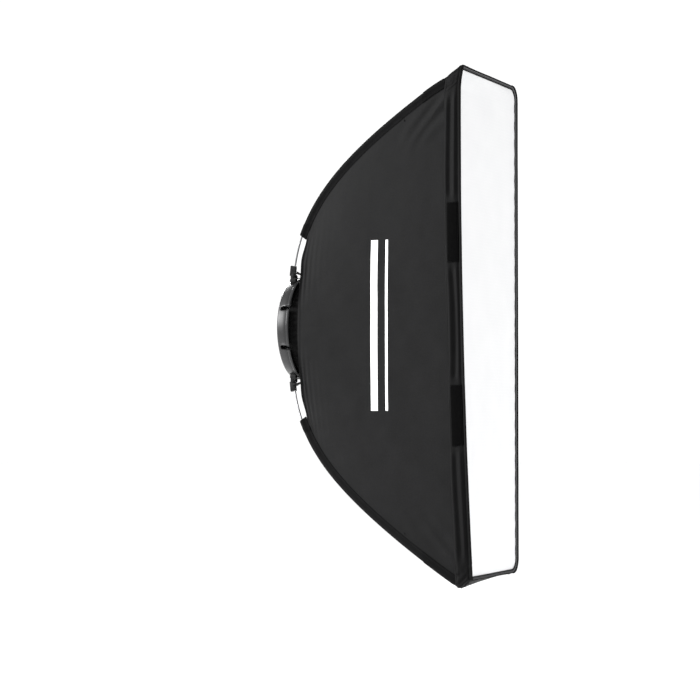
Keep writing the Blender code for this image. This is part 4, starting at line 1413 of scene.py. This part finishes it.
def make_cap(corner):
    """The round-nosed cap on the rod's tip, with two grip rings."""
    side, level = CORNERS[corner]
    tip = hang(beside_rod(side, level, 1.0, 0, 0))
    before = hang(beside_rod(side, level, 0.985, 0, 0))
    way = (tip - before).normalized()
    outline = [(-CAP_LENGTH, ROD_RADIUS + GAP), (-CAP_LENGTH, CAP_RADIUS - 0.0005)]
    outline += [(-CAP_LENGTH + 0.0005, CAP_RADIUS)]
    for k in range(2):
        ring = -0.0062 + 0.0026 * k
        outline += [(ring, CAP_RADIUS), (ring + 0.0004, CAP_RADIUS - 0.0003), (ring + 0.0008, CAP_RADIUS)]
    outline += [(0.0010 + 0.0020 * sin(t * pi / 12), CAP_RADIUS * cos(t * pi / 12)) for t in range(0, 6)]
    outline += [(CAP_NOSE, 0.0001), (GAP, 0.0001), (GAP, ROD_RADIUS + GAP)]
    cap = lathe(f"cap_{corner}", outline, 32)
    place = Matrix.Translation(tip) @ way.to_track_quat("X", "Z").to_matrix().to_4x4()
    cap.data.transform(place)
    cap.data.materials.append(CAP_RUBBER)
    ride(smooth(cap, 50), f"rod_{corner}", f"rod_cap_{corner}", slot="cap_rubber")


def polish(node, body, paint, width, slot):
    """Stand in for a CAD node with the same shape, its sharp edges rounded."""
    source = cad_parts[node]
    bm = bmesh.new()
    bm.from_mesh(source.data)
    bmesh.ops.remove_doubles(bm, verts=bm.verts, dist=0.000005)
    bmesh.ops.dissolve_limit(bm, angle_limit=radians(1.0), verts=bm.verts, edges=bm.edges)
    thing = mesh_object(f"{node}_finished", bm)
    thing.data.shade_smooth()
    bevel(thing, width, 38)
    freeze(thing)
    thing.data.materials.append(paint)
    ride(thing, body, node, slot=slot)


def make_tabs(corner):
    """The webbing tabs round the rear and front ends of a sleeve."""
    rear_start = SLEEVE_START - 0.004
    make_sleeve_tab("rear_tab", corner, rear_start, rear_start + 0.056, 0.006, 0.0004, (0.036, 0.027))
    front_end = SEAM_SHARES[CORNERS[corner]] + 0.004
    make_sleeve_tab("front_tab", corner, FRONT_TAB_START, front_end, 0.012, 0.0008, (0.036, 0.058))


def make_hinge(corner):
    """The bracket, pin, holder and lever where a rod meets the ring."""
    polish(f"hinge_bracket_{corner}", "speed_ring", BLACK_METAL, 0.0003, "bracket_metal")
    polish(f"hinge_pin_{corner}", "speed_ring", PIN_STEEL, 0.00012, "pin_steel")
    polish(f"rod_holder_{corner}", f"rod_{corner}", BLACK_METAL, 0.0003, "bracket_metal")
    polish(f"release_lever_{corner}", f"lever_{corner}", LEVER_PLASTIC, 0.0003, "lever_plastic")


CORNER_PIECES = (
    make_side_panel,
    make_side_lip,
    make_lip_seams,
    make_corner_pocket,
    make_corner_seams,
    make_hook_strip,
    make_sleeve,
    make_sleeve_seam,
    make_tabs,
    make_rod,
    make_cap,
    make_hinge,
)
END_PIECES = (make_end_lip, make_end_panel, make_diffuser, make_binding, make_baffle, make_skirt)

make_camera()
make_studio()
make_ring()
polish("bayonet_insert", "insert", INSERT_METAL, 0.0003, "insert_metal")
polish("retaining_ring", "speed_ring", BLACK_METAL, 0.0003, "bracket_metal")
for level_key in LEVELS:
    for side_key in SIDES:
        for make in CORNER_PIECES:
            make(f"{level_key}_{side_key}")
    for make in END_PIECES:
        make(level_key)
